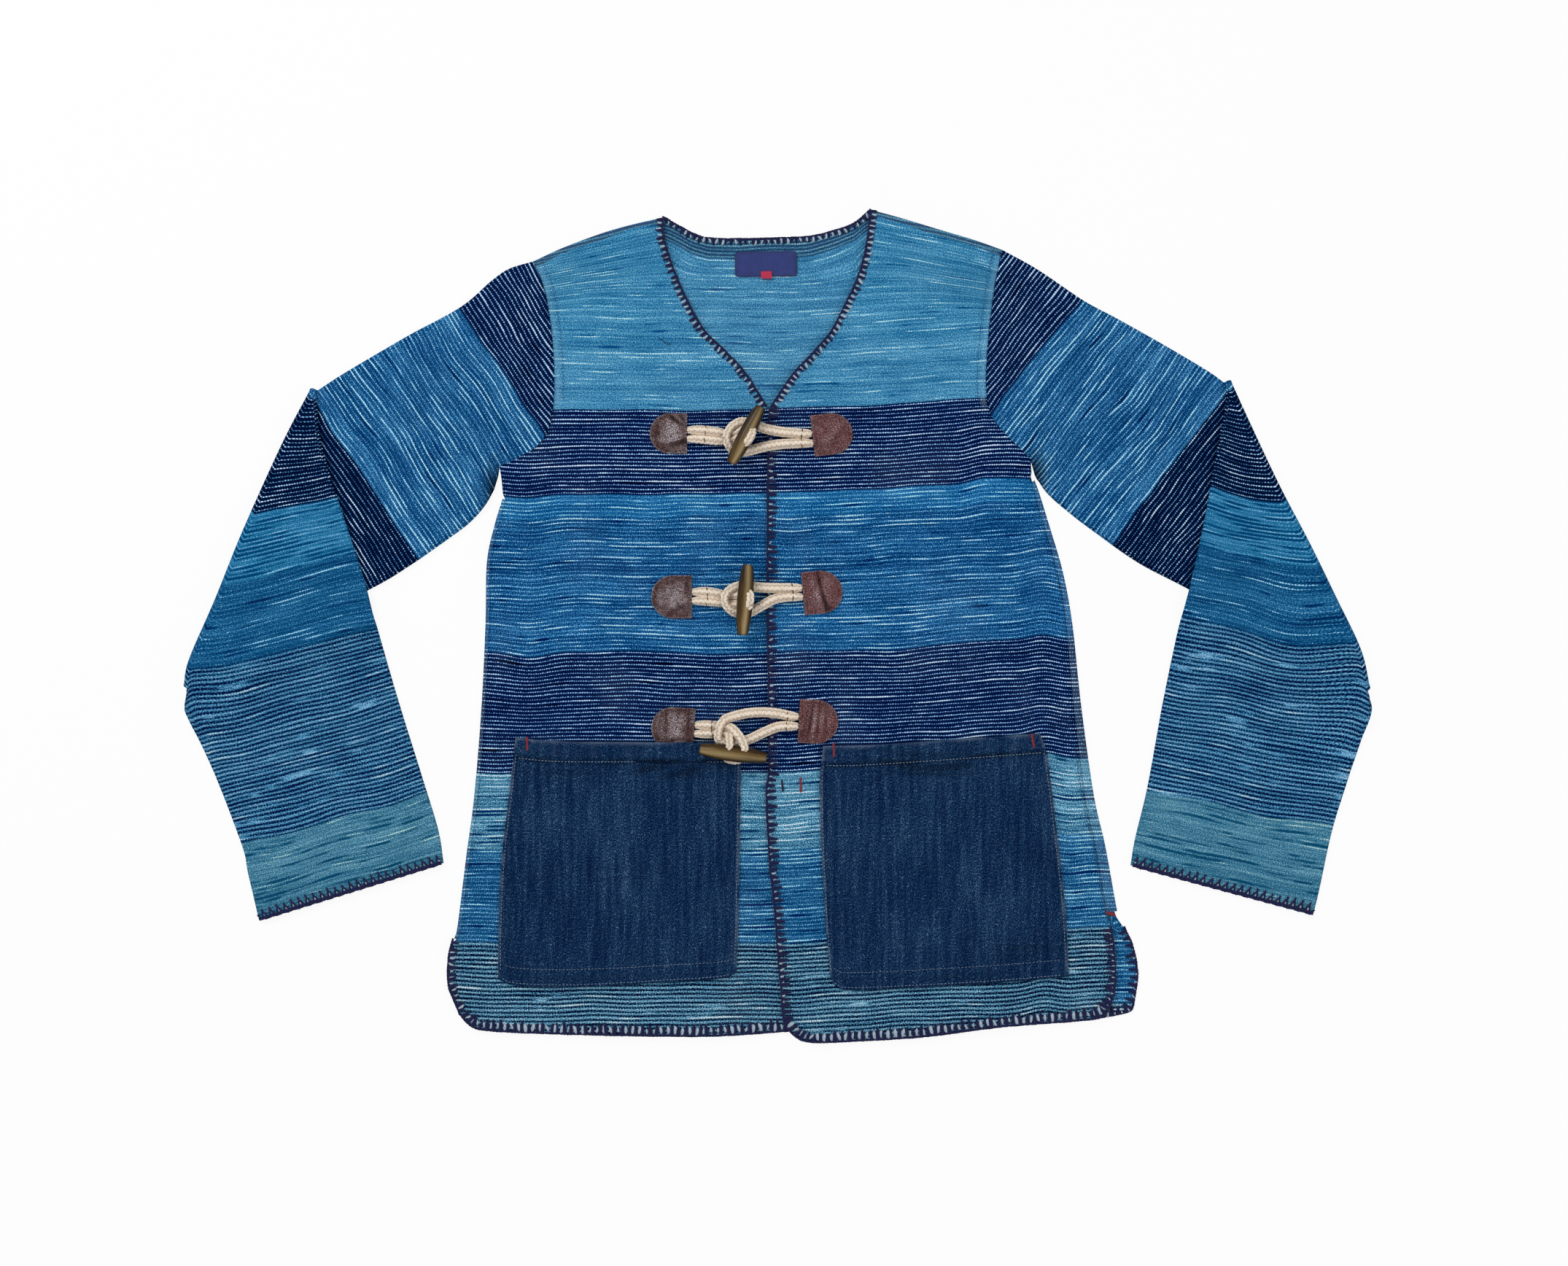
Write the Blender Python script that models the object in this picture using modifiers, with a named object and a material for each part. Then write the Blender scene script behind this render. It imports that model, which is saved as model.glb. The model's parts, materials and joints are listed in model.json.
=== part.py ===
"""An indigo striped work jacket laid flat on its back, with denim patch pockets and toggle fastenings.

Each cut and sewn piece is one solid: the back with its turned edges, two fronts lapped at the centre,
two sleeves folded over at the elbow, two pockets, the neck label with its tab, and three fastenings of
leather, rope and turned toggles. X runs across the wearer's chest, Y up to the neck and Z up off the
surface it lies on. Sizes are in millimetres until a mesh is written, which is in metres.
"""

import math

import bmesh
import bpy
import numpy as np

MM = 0.001

# Cloth and how it lies.
CLOTH = 1.6  # thickness of the striped cloth
DENIM = 1.6  # thickness of the pocket denim
SEAM = 0.5  # clear gap between sewn pieces
LOFT = 2.6  # between the middle surfaces of a flattened tube's two layers
TURN = LOFT / 2  # radius of a turned edge, at the cloth's middle
EDGE = TURN + CLOTH / 2  # from an outline to the last flat point inside it
LOW = CLOTH / 2  # height of the lower layer's middle
HIGH = LOW + LOFT  # height of the upper layer's middle
TUBE = LOFT + CLOTH  # height of a flattened tube
LAP_RISE = CLOTH + 0.4  # how far the left front rides over the right one
LAP_FLAT = 20.0  # the lap lies flat up to this X
LAP_END = 52.0  # and has come down to the body by this one
LAP_TOP = (182.0, 216.0)  # the lap's rise fades out between these heights
SHOULDER_LIP = 3.0  # how far the back turns over on to the front at the shoulders
SHOULDER_GAP = 0.9
FOLD_GAP = 0.4  # inner radius of the elbow fold
FOLD_AXIS = TUBE + FOLD_GAP  # height that the elbow folds about

# Rows and columns of the panels.
ARMHOLE_STEPS = 7
SIDE_STEPS = 8
VENT_STEPS = 3
SHOULDER_STEPS = 4
NECK_STEPS = 7
FRONT_COLUMNS = (0.0, 0.1, 0.25, 0.4, 0.55, 0.68, 0.76, 0.84, 0.93, 1.0)
SLEEVE_UPPER = (0.0, 0.2, 0.45, 0.72, 1.0)
FOLD_STOPS = (0.0, 0.085, 0.165, 0.24, 0.315, 0.39, 0.455, 0.61, 0.81, 1.0)  # across the elbow fold
FOLD_STEPS = 5
FAN_ROWS = 4  # the fold's bow has gone from the lower sleeve's rows by this one

# The lower sleeve's rows past the fold: fraction along its inner and outer edge, and how much of the
# fold's height each end still has. The first rows fan out over the upper sleeve, the rest lie flat.
LOWER_SLEEVE = (
    # inner, outer, lift in, lift out
    (0.16, 0.03, 1.00, 1.00),
    (0.32, 0.06, 1.00, 1.00),
    (0.435, 0.09, 1.00, 1.00),
    (0.47, 0.15, 0.75, 0.70),
    (0.50, 0.21, 0.25, 0.25),
    (0.54, 0.28, 0.00, 0.00),
    (0.68, 0.48, 0.00, 0.00),
    (0.84, 0.74, 0.00, 0.00),
    (1.00, 1.00, 0.00, 0.00),
)

# Soft folds that stand a little off the fronts: centre, heading in degrees, length, width and rise.
SOFT_FOLDS = (
    # x, y, heading, length, width, rise
    (-186.0, 112.0, -14.0, 90.0, 34.0, 2.2),
    (176.0, 112.0, 14.0, 90.0, 34.0, 2.2),
    (-140.0, 232.0, 62.0, 130.0, 60.0, 1.6),
    (122.0, 238.0, 118.0, 130.0, 60.0, 1.6),
    (-150.0, -20.0, 80.0, 120.0, 60.0, 1.4),
    (150.0, -10.0, 96.0, 130.0, 60.0, 1.6),
    (-120.0, -302.0, 90.0, 60.0, 50.0, 1.4),
    (170.0, -300.0, 78.0, 60.0, 50.0, 2.4),
)

# Outlines, point by point from the neck or armhole outwards, as X and Y. Right and left are the wearer's.
CURVES = {
    "right": {
        "shoulder": ((-193.3, 287.6), (-167.6, 299.3), (-130.0, 312.8), (-90.0, 322.7)),
        "armhole": ((-193.3, 287.6), (-184, 265), (-178, 228), (-176, 190), (-179, 160), (-188, 143),
                    (-204, 133), (-219.5, 127)),
        "slit_front": ((-217.5, 115), (-216.5, 103)),
        "slit_sleeve": ((-227.5, 118), (-227.5, 105)),
        "side": ((-217.3, 100), (-223.5, 79.7), (-229.7, 49.8), (-230.8, 1), (-234.2, -68.4),
                 (-240, -137.5), (-245.4, -181), (-252.6, -237)),
        "vent_front": ((-256.5, -249), (-259.5, -262), (-259.3, -284), (-250.6, -307)),
        "vent_back": ((-256, -249), (-258.8, -262), (-258.5, -283), (-249.6, -305.5)),
        "hem": ((-250.6, -307), (-240.6, -316.6), (-226.2, -319.8), (-190, -321.6), (-120, -323.4),
                (-49.5, -323.8), (9, -320)),
        "neckline": ((-90, 322.7), (-90.6, 310.2), (-86, 292.9), (-79.4, 274.5), (-70.1, 254.6),
                     (-58.2, 233.5), (-41, 216.3), (-25.2, 199.1), (-8.6, 172.6)),
        "front_edge": ((-8.6, 172.6), (4, 155), (6.5, 120), (6.5, 0), (6.5, -200), (9, -320)),
        "overarm": ((-193.3, 287.6), (-212, 282), (-226, 272.5), (-250, 252), (-290.5, 229.8), (-324, 210.4),
                    (-346.3, 197), (-368, 187.4)),
        "underarm": ((-227.5, 105), (-230.5, 94), (-244.5, 80), (-265.5, 64.5), (-290, 47.5),
                     (-321, 29), (-400, -10), (-464, -46)),
        "fold": ((-368, 187.4), (-391, 143.4), (-422.3, 74.1), (-443.5, 21.6), (-464.4, -26.9),
                 (-468.4, -48)),
        "inner": ((-359.7, 145.6), (-346.3, 100), (-326.2, 38.4), (-316.2, -1.2), (-300.4, -56.5),
                  (-282.6, -113.8), (-268.2, -161), (-263.8, -187.8)),
        "outer": ((-467.2, -64), (-463.4, -76.3), (-442.7, -122.7), (-422.9, -175), (-418.5, -196),
                  (-409.6, -233)),
    },
    "left": {
        "shoulder": ((177.7, 296.8), (156.5, 304.4), (129.7, 312.4), (100, 321.4), (73.4, 328.7)),
        "armhole": ((177.7, 296.8), (172, 268.5), (167.2, 232.8), (164.7, 197), (166, 176),
                    (171, 161.3), (184, 147), (200, 131)),
        "slit_front": ((200.2, 125), (200.5, 120)),
        "slit_sleeve": ((203.2, 125), (205.5, 117.5)),
        "side": ((202.3, 117), (206.7, 105.4), (215.7, 76.4), (225.7, 42), (233.2, 0.8),
                 (240, -62.5), (250, -133.6), (258.9, -173), (266.8, -216.6), (269.2, -229)),
        "vent_front": ((263.2, -238), (265.5, -255), (266.5, -283), (263, -299)),
        "vent_back": ((274, -238), (280.6, -253), (284.6, -275), (281.5, -300)),
        "hem": ((263, -299), (256, -308.5), (235.2, -312.1), (175, -316.5), (125, -323.4), (75, -327.2),
                (27.6, -328.5), (12.5, -322.5), (4.7, -312)),
        "neckline": ((73.4, 328.7), (72.1, 312.8), (68.8, 292.9), (62.8, 273.1), (53.5, 253.3),
                     (42.3, 232.1), (27.8, 215), (11.9, 197.7), (-5, 172.6)),
        "front_edge": ((-5, 172.6), (-6.9, 154.7), (-7.8, 32.4), (-6.4, -105), (-8.6, -130),
                       (-6.5, -180), (-1.4, -233.5), (4.7, -312)),
        "overarm": ((177.7, 296.8), (205.6, 281.4), (241.3, 257.3), (268, 242.8), (303.9, 222.7),
                    (339.6, 201.5), (357.5, 193.7)),
        "underarm": ((205.5, 117.5), (215, 103.5), (232, 87.8), (251.5, 73), (285, 49.5), (324, 29),
                     (398, -11), (464, -52)),
        "fold": ((357.5, 193.7), (375.4, 154.6), (397.7, 107.7), (420, 65.2), (441.3, 21.6),
                 (460.5, -19), (467.8, -50)),
        "inner": ((353, 174.7), (346.3, 139), (336.3, 83), (326.2, 36), (317.2, -0.4), (304.4, -61.7),
                  (292.5, -127), (282.6, -168.4), (279, -189.6)),
        "outer": ((468.4, -66), (461.5, -90), (451.6, -119.8), (438.7, -161.3), (428.8, -206.7),
                  (423.5, -228.4)),
    },
}
BACK_NECK = ((-90, 322.7), (-67.5, 310.2), (-54.3, 306.2), (-27.8, 305.5), (-1.3, 306.2), (25.1, 307.5),
             (44.9, 312.1), (60.8, 318.1), (73.4, 328.7))
BACK_HEM = ((-249.6, -305.5), (-227, -317), (-120, -320), (8, -318), (120, -318), (200, -312), (250, -311.2),
            (277, -305.5), (281.5, -300))

# How far the back turns over on to the front along each side seam.
SIDE_LIP = {"right": (1.0, 1.0), "left": (1.5, 6.5)}  # at the armpit and at the vent

# Pockets: their four borders on the front, and the columns and rows of cloth between them.
POCKETS = {
    "right": {
        "top": ((-206.5, -88.5), (-170, -91.5), (-100, -92), (-28.9, -92.5)),
        "side": ((-206.5, -88.5), (-211, -130), (-216.5, -175), (-219.5, -225), (-220.3, -279)),
        "centre": ((-28.9, -92.5), (-29.5, -150), (-30.8, -230), (-32.5, -274)),
        "bottom": ((-220.3, -279), (-205, -284), (-160, -285.2), (-90, -281.5), (-45, -278.5), (-32.5, -274)),
    },
    "left": {
        "top": ((207, -85.2), (160, -88.5), (110, -92), (70, -94.5), (36, -95)),
        "side": ((207, -85.2), (212.5, -103), (220.2, -163), (227.1, -225), (229.7, -277)),
        "centre": ((36, -95), (33.5, -124.6), (35, -178.6), (38.6, -240), (42, -278)),
        "bottom": ((229.7, -277), (190, -280.5), (120, -285), (60, -287.5), (47, -285), (42, -278)),
    },
}
POCKET_COLUMNS = (0.0, 0.17, 0.34, 0.5, 0.565, 0.69, 0.81, 0.88, 1.0)
POCKET_ROWS = (0.0, 0.055, 0.16, 0.33, 0.5, 0.67, 0.84, 1.0)
POCKET_GAP = 0.5  # clear of the front it is sewn to
GAPE = 2.3  # how far the right pocket's mouth stands off where a patch is tucked under it
GAPE_CENTRE = -84.0  # where along X
GAPE_FLAT, GAPE_END = 22.0, 34.0  # half-widths of its level and of its foot
GAPE_DEPTH = (12.0, 30.0)  # it fades between these depths under the mouth

# Neck label, sewn inside the back: corners in plan, and its small folded tab.
LABEL = ((-33.6, 295.0), (15.2, 296.0), (15.6, 275.9), (-33.4, 275.2))
LABEL_CLOTH = 1.0
TAB = ((-13.2, 279.6), (-4.4, 279.7), (-4.2, 273.8), (-12.8, 273.8))
LABEL_GAP = 0.3

# Fastenings. A patch is a D of leather: the middle of its straight side, width, height, tilt of the
# straight side in degrees, and which way its round side looks along X.
PATCHES = {
    "toggle": (
        # x, y, width, height, tilt, way
        (-71.2, 151.4, 29.6, 31.8, 0.0, -1),
        (-67.4, 22.5, 32.3, 34.0, 0.0, -1),
        (-65.4, -82.0, 34.2, 33.0, -3.0, -1),
    ),
    "loop": (
        (27.6, 149.2, 32.0, 32.6, 6.8, 1),
        (20.0, 24.9, 31.5, 34.0, 5.0, 1),
        (16.8, -75.3, 31.3, 34.6, -3.0, 1),
    ),
}
LEATHER = 1.9  # thickness at a patch's rim
PATCH_CROWN = 3.4  # how much higher it stands over the rope ends at the middle of its straight side
PATCH_GAP = 0.3
PATCH_ROUND = (0, 25, 48, 68, 84)  # degrees round the D, one column of points each
PATCH_ROWS = (-1.0, -0.62, -0.36, 0.0, 0.36, 0.62, 1.0)  # shares of its half-height
PATCH_SHARP = math.radians(40)  # edges that turn more than this show as corners
ROPE_END = (6.0, 10.3)  # the crown is level up to the first half-height and gone at the second
ROPE = 3.3  # radius of the rope
ROPE_STEP = 4.0  # between the points of its centre line
HOLE = 0.4  # clearance round the rope where it goes through a toggle

# A toggle is a spindle: the ends of its axis in plan, the height of its axis, its greatest radius, the slope
# in degrees of the rope's way through it from one flank to the other, and how far apart the rope goes in.
TOGGLES = (
    # x1, y1, x2, y2, height, radius, slope, way in
    (-36.0, 126.6, -13.0, 170.8, 19.2, 6.3, 49.0, "close"),
    (-27.4, -7.6, -23.1, 47.6, 19.2, 6.4, 49.0, "close"),
    (-60.8, -97.0, -8.2, -103.8, 16.4, 6.5, -34.0, "wide"),
)
TOGGLE_END = 0.6  # radius at the ends, as a share of the greatest one
TOGGLE_CHAMFER = 0.5
TOGGLE_STOPS = 13  # circles of points along it
TOGGLE_SIDES = 16
MERGE = 1e-6  # metres: points nearer than this are one

# The rope's way through a toggle: along its axis from the middle, along the way, and share of the radius.
PASSAGES = {
    "close": ((3.5, -6.6, 0.82), (4.4, -2.4, 0.8), (5.6, 2.0, 0.8), (4.9, 5.2, 0.84), (0.0, 6.3, 0.88)),
    "wide": ((8.3, -6.6, 0.82), (7.2, -2.4, 0.8), (6.0, 2.0, 0.8), (4.9, 5.2, 0.84), (0.0, 6.3, 0.88)),
}

# Each toggle's rope from its patch to the toggle, strand by strand: x, y, z and share of the radius.
TOGGLE_STRANDS = (
    (
        ((-70.8, 153.9, 7.1, 0.66), (-65, 153.9, 7.6, 0.92), (-57, 153.4, 7.9, 1), (-48, 152.4, 7.9, 0.96),
         (-41, 151.2, 7.3, 0.8), (-36, 150.6, 7.4, 0.78), (-32.4, 151, 10.4, 0.8)),
        ((-70.8, 147.1, 7.1, 0.66), (-65, 147.1, 7.6, 0.92), (-57, 146.6, 7.9, 1), (-48, 145.6, 7.9, 0.96),
         (-41, 145.5, 7.3, 0.8), (-37.5, 145.6, 7.4, 0.78), (-34.2, 145.8, 10.4, 0.8)),
    ),
    (
        ((-67, 26.3, 7.1, 0.66), (-61, 26.5, 7.6, 0.92), (-54, 26.2, 7.9, 1), (-47, 25.2, 7.8, 0.92),
         (-41.5, 24.1, 7.3, 0.8), (-36, 23.6, 7.4, 0.78), (-32.2, 23.6, 10.4, 0.8)),
        ((-67, 19.3, 7.1, 0.66), (-61, 19.5, 7.6, 0.92), (-54, 19.2, 7.9, 1), (-47, 18.3, 7.8, 0.92),
         (-41.5, 17.6, 7.3, 0.8), (-36, 17, 7.4, 0.78), (-32.6, 16.8, 10.4, 0.8)),
    ),
    (
        ((-64.7, -78.6, 7.1, 0.66), (-59, -78.5, 7.6, 0.92), (-52, -78.8, 7.9, 0.96), (-46, -79.4, 7.2, 0.8),
         (-41, -79.8, 8.1, 0.8), (-36.5, -80.4, 12, 0.9), (-32, -84.4, 15.6, 0.95),
         (-28.2, -89.6, 17.4, 0.92)),
        ((-65.1, -85.4, 7.1, 0.66), (-59, -85.3, 7.6, 0.92), (-52, -85.4, 7.9, 0.96), (-46, -85.5, 7.2, 0.8),
         (-41.6, -85.4, 8, 0.8), (-38.2, -86, 11, 0.86), (-37.6, -88.4, 15, 0.88)),
    ),
)
LOOPS = (
    ((26.9, 151.2, 8.9, 0.66), (21, 150.8, 9.8, 0.95), (4, 152.2, 9.9, 1), (-9, 154.6, 9.7, 1),
     (-19, 158.2, 9.3, 1), (-28.5, 159.8, 9.8, 1), (-36, 156, 12.6, 0.86), (-39.8, 149.4, 13.6, 0.84),
     (-38.8, 142.4, 12.6, 0.86), (-34, 137.6, 9.9, 0.96), (-24, 137.2, 9.1, 1), (-10, 140.6, 9.7, 1),
     (4, 142.6, 9.9, 1), (21, 143.4, 9.8, 0.95), (27.8, 143.2, 8.9, 0.66)),
    ((19.2, 29.4, 8.9, 0.66), (13, 29.4, 9.8, 0.95), (0, 29.4, 9.9, 1), (-13, 29.8, 9.7, 1),
     (-24, 31, 9.3, 1), (-32, 30.4, 10.2, 0.98), (-39, 26.6, 12.8, 0.86), (-41.6, 20.8, 13.6, 0.84),
     (-39.4, 14.6, 12.8, 0.86), (-32.5, 10, 10.2, 0.98), (-23, 10, 9.3, 1), (-14, 14.4, 9.7, 1),
     (-3, 20.4, 9.9, 1), (7, 22.5, 9.9, 1), (13, 22.6, 9.8, 0.95), (19.8, 22.3, 8.9, 0.66)),
    ((16.5, -71.8, 8.9, 0.66), (11, -71.4, 9.8, 0.95), (0, -69.2, 9.9, 1), (-11, -68.3, 9.6, 1),
     (-23, -69, 9, 1), (-33, -71.2, 9.2, 1), (-41.5, -73.9, 12.1, 0.9), (-45.4, -79.6, 13.4, 0.84),
     (-46.6, -85, 13.2, 0.84), (-45.8, -90.2, 11.9, 0.9), (-40.4, -92.6, 9.9, 0.96), (-33, -92.6, 9.8, 1),
     (-22, -89.6, 9.4, 1), (-11, -84.4, 9.5, 1), (0, -79.9, 9.9, 1), (10.4, -79.2, 9.8, 0.95),
     (16.1, -79.6, 8.9, 0.66)),
)

# Colours of the plain materials: red, green, blue, roughness.
FINISHES = {
    "indigo_cloth": (0.03, 0.13, 0.30, 0.9),
    "denim": (0.012, 0.035, 0.09, 0.9),
    "leather": (0.10, 0.05, 0.05, 0.6),
    "rope": (0.68, 0.56, 0.38, 0.95),
    "wood": (0.11, 0.07, 0.02, 0.35),
    "label_cloth": (0.03, 0.03, 0.22, 0.8),
    "red_cloth": (0.6, 0.02, 0.03, 0.8),
}


# ---------------------------------------------------------------- numbers to shapes


def smooth(start, end, value):
    """0 before start, 1 after end and a soft step between them."""
    step = np.clip((np.asarray(value, float) - start) / (end - start), 0.0, 1.0)
    return step * step * (3 - 2 * step)


def unit(vectors):
    vectors = np.asarray(vectors, float)
    return vectors / np.linalg.norm(vectors, axis=-1, keepdims=True)


def through(points, stops):
    """Points at the fractions `stops` of the length of a smooth curve through `points` (Catmull-Rom)."""
    points = np.asarray(points, float)
    ends = np.vstack([2 * points[0] - points[1], points, 2 * points[-1] - points[-2]])
    t = np.linspace(0, 1, 12, endpoint=False)[:, None]
    pieces = [
        0.5 * (2 * b + (c - a) * t + (2 * a - 5 * b + 4 * c - d) * t**2 + (3 * b - a - 3 * c + d) * t**3)
        for a, b, c, d in zip(ends, ends[1:], ends[2:], ends[3:])
    ]
    fine = np.vstack(pieces + [points[-1:]])
    run = np.concatenate([[0.0], np.cumsum(np.linalg.norm(np.diff(fine, axis=0), axis=1))])
    return np.stack([np.interp(np.asarray(stops) * run[-1], run, column) for column in fine.T], axis=1)


def even(points, steps):
    """A smooth curve through the points, as evenly spaced points."""
    return through(points, np.linspace(0, 1, steps + 1))


def outward(line, away_from=(0.0, 0.0)):
    """Unit normals of a plan line, on the side away from a point."""
    along = unit(np.gradient(line, axis=0))
    normals = np.stack([along[:, 1], -along[:, 0]], axis=1)
    side = np.sign(((line - np.asarray(away_from)) * normals).sum(axis=1, keepdims=True))
    return normals * side


def fractions(line):
    """How far along its own length each point of a line stands."""
    run = np.concatenate([[0.0], np.cumsum(np.linalg.norm(np.diff(line, axis=0), axis=1))])
    return run / run[-1]


def coons(top, bottom, first, last, stops=None):
    """Plan grid filling four border lines: rows from top to bottom, columns from first to last."""
    v = fractions(first + last)[:, None, None]
    u = (fractions(top + bottom) if stops is None else np.asarray(stops))[None, :, None]
    across = (1 - u) * first[:, None] + u * last[:, None]
    down = (1 - v) * top[None] + v * bottom[None]
    corners = (1 - v) * ((1 - u) * top[0] + u * top[-1]) + v * ((1 - u) * bottom[0] + u * bottom[-1])
    return across + down - corners


def soft_folds(x, y):
    """Height of the soft folds at a plan point: a ridge that dies away along and across its heading."""
    height = np.zeros_like(x)
    for cx, cy, heading, length, width, rise in SOFT_FOLDS:
        c, s = math.cos(math.radians(heading)), math.sin(math.radians(heading))
        along = ((x - cx) * c + (y - cy) * s) / (length / 2)
        across = ((y - cy) * c - (x - cx) * s) / (width / 2)
        height = height + rise * np.exp(-(along**2) - across**2)
    return height


def front_height(side, plan):
    """Height of a front's middle surface over the plan points."""
    x, y = plan[..., 0], plan[..., 1]
    inside = 0.0
    if side == "left":
        inside = LAP_RISE * (1 - smooth(LAP_FLAT, LAP_END, x)) * (1 - smooth(*LAP_TOP, y))
    return HIGH + inside + soft_folds(x, y)


# ---------------------------------------------------------------- meshes


def material(name):
    """One plain material for each finish, made when it is first asked for."""
    if name not in bpy.data.materials:
        made = bpy.data.materials.new(name)
        made.use_nodes = True
        red, green, blue, roughness = FINISHES[name]
        shader = made.node_tree.nodes["Principled BSDF"]
        shader.inputs["Base Color"].default_value = (red, green, blue, 1)
        shader.inputs["Roughness"].default_value = roughness
    return bpy.data.materials[name]


def add_object(name, data, finish, collection):
    made = bpy.data.objects.new(name, data)
    made.data.materials.append(material(finish))
    collection.objects.link(made)
    return made


def quads(numbers):
    """Faces between the neighbours of a grid of vertex numbers."""
    a, b, c, d = numbers[:-1, :-1], numbers[:-1, 1:], numbers[1:, 1:], numbers[1:, :-1]
    return np.stack([a, b, c, d], axis=-1).reshape(-1, 4).tolist()


def recalculate(mesh):
    """Makes a mesh's faces agree about which way they look, outwards where it is closed."""
    work = bmesh.new()
    work.from_mesh(mesh)
    bmesh.ops.recalc_face_normals(work, faces=work.faces)
    work.to_mesh(mesh)
    work.free()


def surface(name, points, faces, finish, collection, thickness):
    """A piece of cloth: a middle surface with its thickness laid evenly to both sides."""
    mesh = bpy.data.meshes.new(name)
    mesh.from_pydata((np.asarray(points).reshape(-1, 3) * MM).tolist(), [], faces)
    mesh.shade_smooth()
    recalculate(mesh)
    made = add_object(name, mesh, finish, collection)
    wall = made.modifiers.new("thickness", "SOLIDIFY")
    wall.thickness = thickness * MM
    wall.offset = 0
    return made


def numbered(rows, columns):
    """Vertex numbers of a grid, row by row."""
    return np.arange(rows * columns).reshape(rows, columns)


def on_panel(side, plan, rise):
    """Points over a front panel: its own points under the plan grid, moved out by `rise`."""
    return np.dstack([plan, front_height(side, plan) + rise])


# ---------------------------------------------------------------- body panels


def armhole(side):
    """The armhole seam's points, which the back, the front and the sleeve all share."""
    return even(CURVES[side]["armhole"], ARMHOLE_STEPS)


def outline(side, layer):
    """The side border of a body panel, armhole to hem, as its points, outward normals and turned rows."""
    curves = CURVES[side]
    hole = armhole(side)
    slit = np.asarray(curves["slit_front" if layer == "front" else "slit_sleeve"], float)
    seam = even(curves["side"], SIDE_STEPS)
    vent = even(curves["vent_" + layer], VENT_STEPS)
    points = np.vstack([hole, slit, seam, vent])
    normals = np.zeros_like(points)
    turned = np.zeros(len(points), bool)
    start = len(hole) + len(slit)
    turned[start:start + len(seam)] = True
    normals[turned] = outward(seam)
    return points, normals, turned


def lips(side, turned):
    """The width of the back's turned lip on each row of the side seam."""
    width = np.zeros(len(turned))
    width[turned] = np.linspace(*SIDE_LIP[side], int(turned.sum()))
    return width[:, None]


def curl(ends, normals, lip):
    """Rows of points that carry on from flat border points, round a turned edge and along a lip."""
    centre = np.column_stack([ends, np.full(len(ends), LOW + TURN)])
    out = np.column_stack([normals, np.zeros(len(ends))])
    up = np.array([0.0, 0.0, 1.0])
    rounds = [centre + TURN * (out * math.cos(a) + up * math.sin(a)) for a in np.radians((-40, 0, 40, 90))]
    tip = rounds[-1] - out * np.asarray(lip)
    return np.stack(rounds + [tip], axis=1)


def build_back(collection):
    """The flat back, with strips of it turned over on to the fronts at the side seams and shoulders."""
    right, right_normals, turned = outline("right", "back")
    left, left_normals, _ = outline("left", "back")
    right_ends = right - right_normals * EDGE
    left_ends = left - left_normals * EDGE
    shoulders = {}
    for side in ("right", "left"):
        line = even(CURVES[side]["shoulder"], SHOULDER_STEPS)
        shoulders[side] = (line - outward(line) * EDGE, outward(line))
    neck = even(BACK_NECK, NECK_STEPS)
    top = np.vstack([shoulders["right"][0], neck[1:-1], shoulders["left"][0][::-1]])
    right_ends[0], left_ends[0] = top[0], top[-1]
    hem = even(BACK_HEM, len(top) - 1)
    right_ends[-1], left_ends[-1] = hem[0], hem[-1]
    plan = coons(top, hem, right_ends, left_ends)
    grid = numbered(*plan.shape[:2])
    seam = np.flatnonzero(turned)
    shoulder_end = SHOULDER_STEPS + 1
    strips = (
        (grid[seam, 0], curl(right_ends[seam], right_normals[seam], lips("right", turned)[seam])),
        (grid[seam, -1], curl(left_ends[seam], left_normals[seam], lips("left", turned)[seam])),
        (grid[0, :shoulder_end], curl(*shoulders["right"], SHOULDER_LIP)),
        (grid[0, ::-1][:shoulder_end], curl(*shoulders["left"], SHOULDER_LIP)),
    )
    points = [np.dstack([plan, np.full(grid.shape, LOW)]).reshape(-1, 3)]
    faces = quads(grid)
    count = grid.size
    for border, strip in strips:
        faces += quads(np.column_stack([border, count + numbered(*strip.shape[:2])]))
        points.append(strip.reshape(-1, 3))
        count += len(points[-1])
    surface("back_panel", np.vstack(points), faces, "indigo_cloth", collection, CLOTH)


def front_plan(side):
    """Plan grid of a front: rows from the shoulder to the hem, columns from the side to the centre."""
    outer, normals, turned = outline(side, "front")
    outer = outer - normals * (EDGE + lips(side, turned) + SEAM)
    shoulder = CURVES[side]["shoulder"]
    columns = np.asarray(FRONT_COLUMNS)
    top = through(shoulder, columns)
    top = top - outward(top) * (EDGE + SHOULDER_LIP + SHOULDER_GAP)
    outer[0] = top[0]
    hem = through(CURVES[side]["hem"], columns)
    outer[-1] = hem[0]
    border = np.vstack([
        through(CURVES[side]["neckline"], np.linspace(0, 1, 60)),
        through(CURVES[side]["front_edge"], np.linspace(0, 1, 120))[1:],
    ])
    fall = (outer[0, 1] - outer[:, 1]) / (outer[0, 1] - outer[-1, 1])
    shoulder_rise, hem_rise = top[-1, 1] - outer[0, 1], hem[-1, 1] - outer[-1, 1]
    heights = outer[:, 1] + shoulder_rise * (1 - fall) ** 2 + hem_rise * fall**4
    inner = np.column_stack([np.interp(-heights, -border[:, 1], border[:, 0]), heights])
    inner[0], inner[-1] = top[-1], hem[-1]
    return coons(top, hem, outer, inner)


def build_front(side, collection):
    """A front of the jacket, from its shoulder seam to its hem."""
    plan = front_plan(side)
    points = on_panel(side, plan, 0.0)
    surface("front_" + side, points, quads(numbered(*plan.shape[:2])), "indigo_cloth", collection, CLOTH)


# ---------------------------------------------------------------- sleeves


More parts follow.
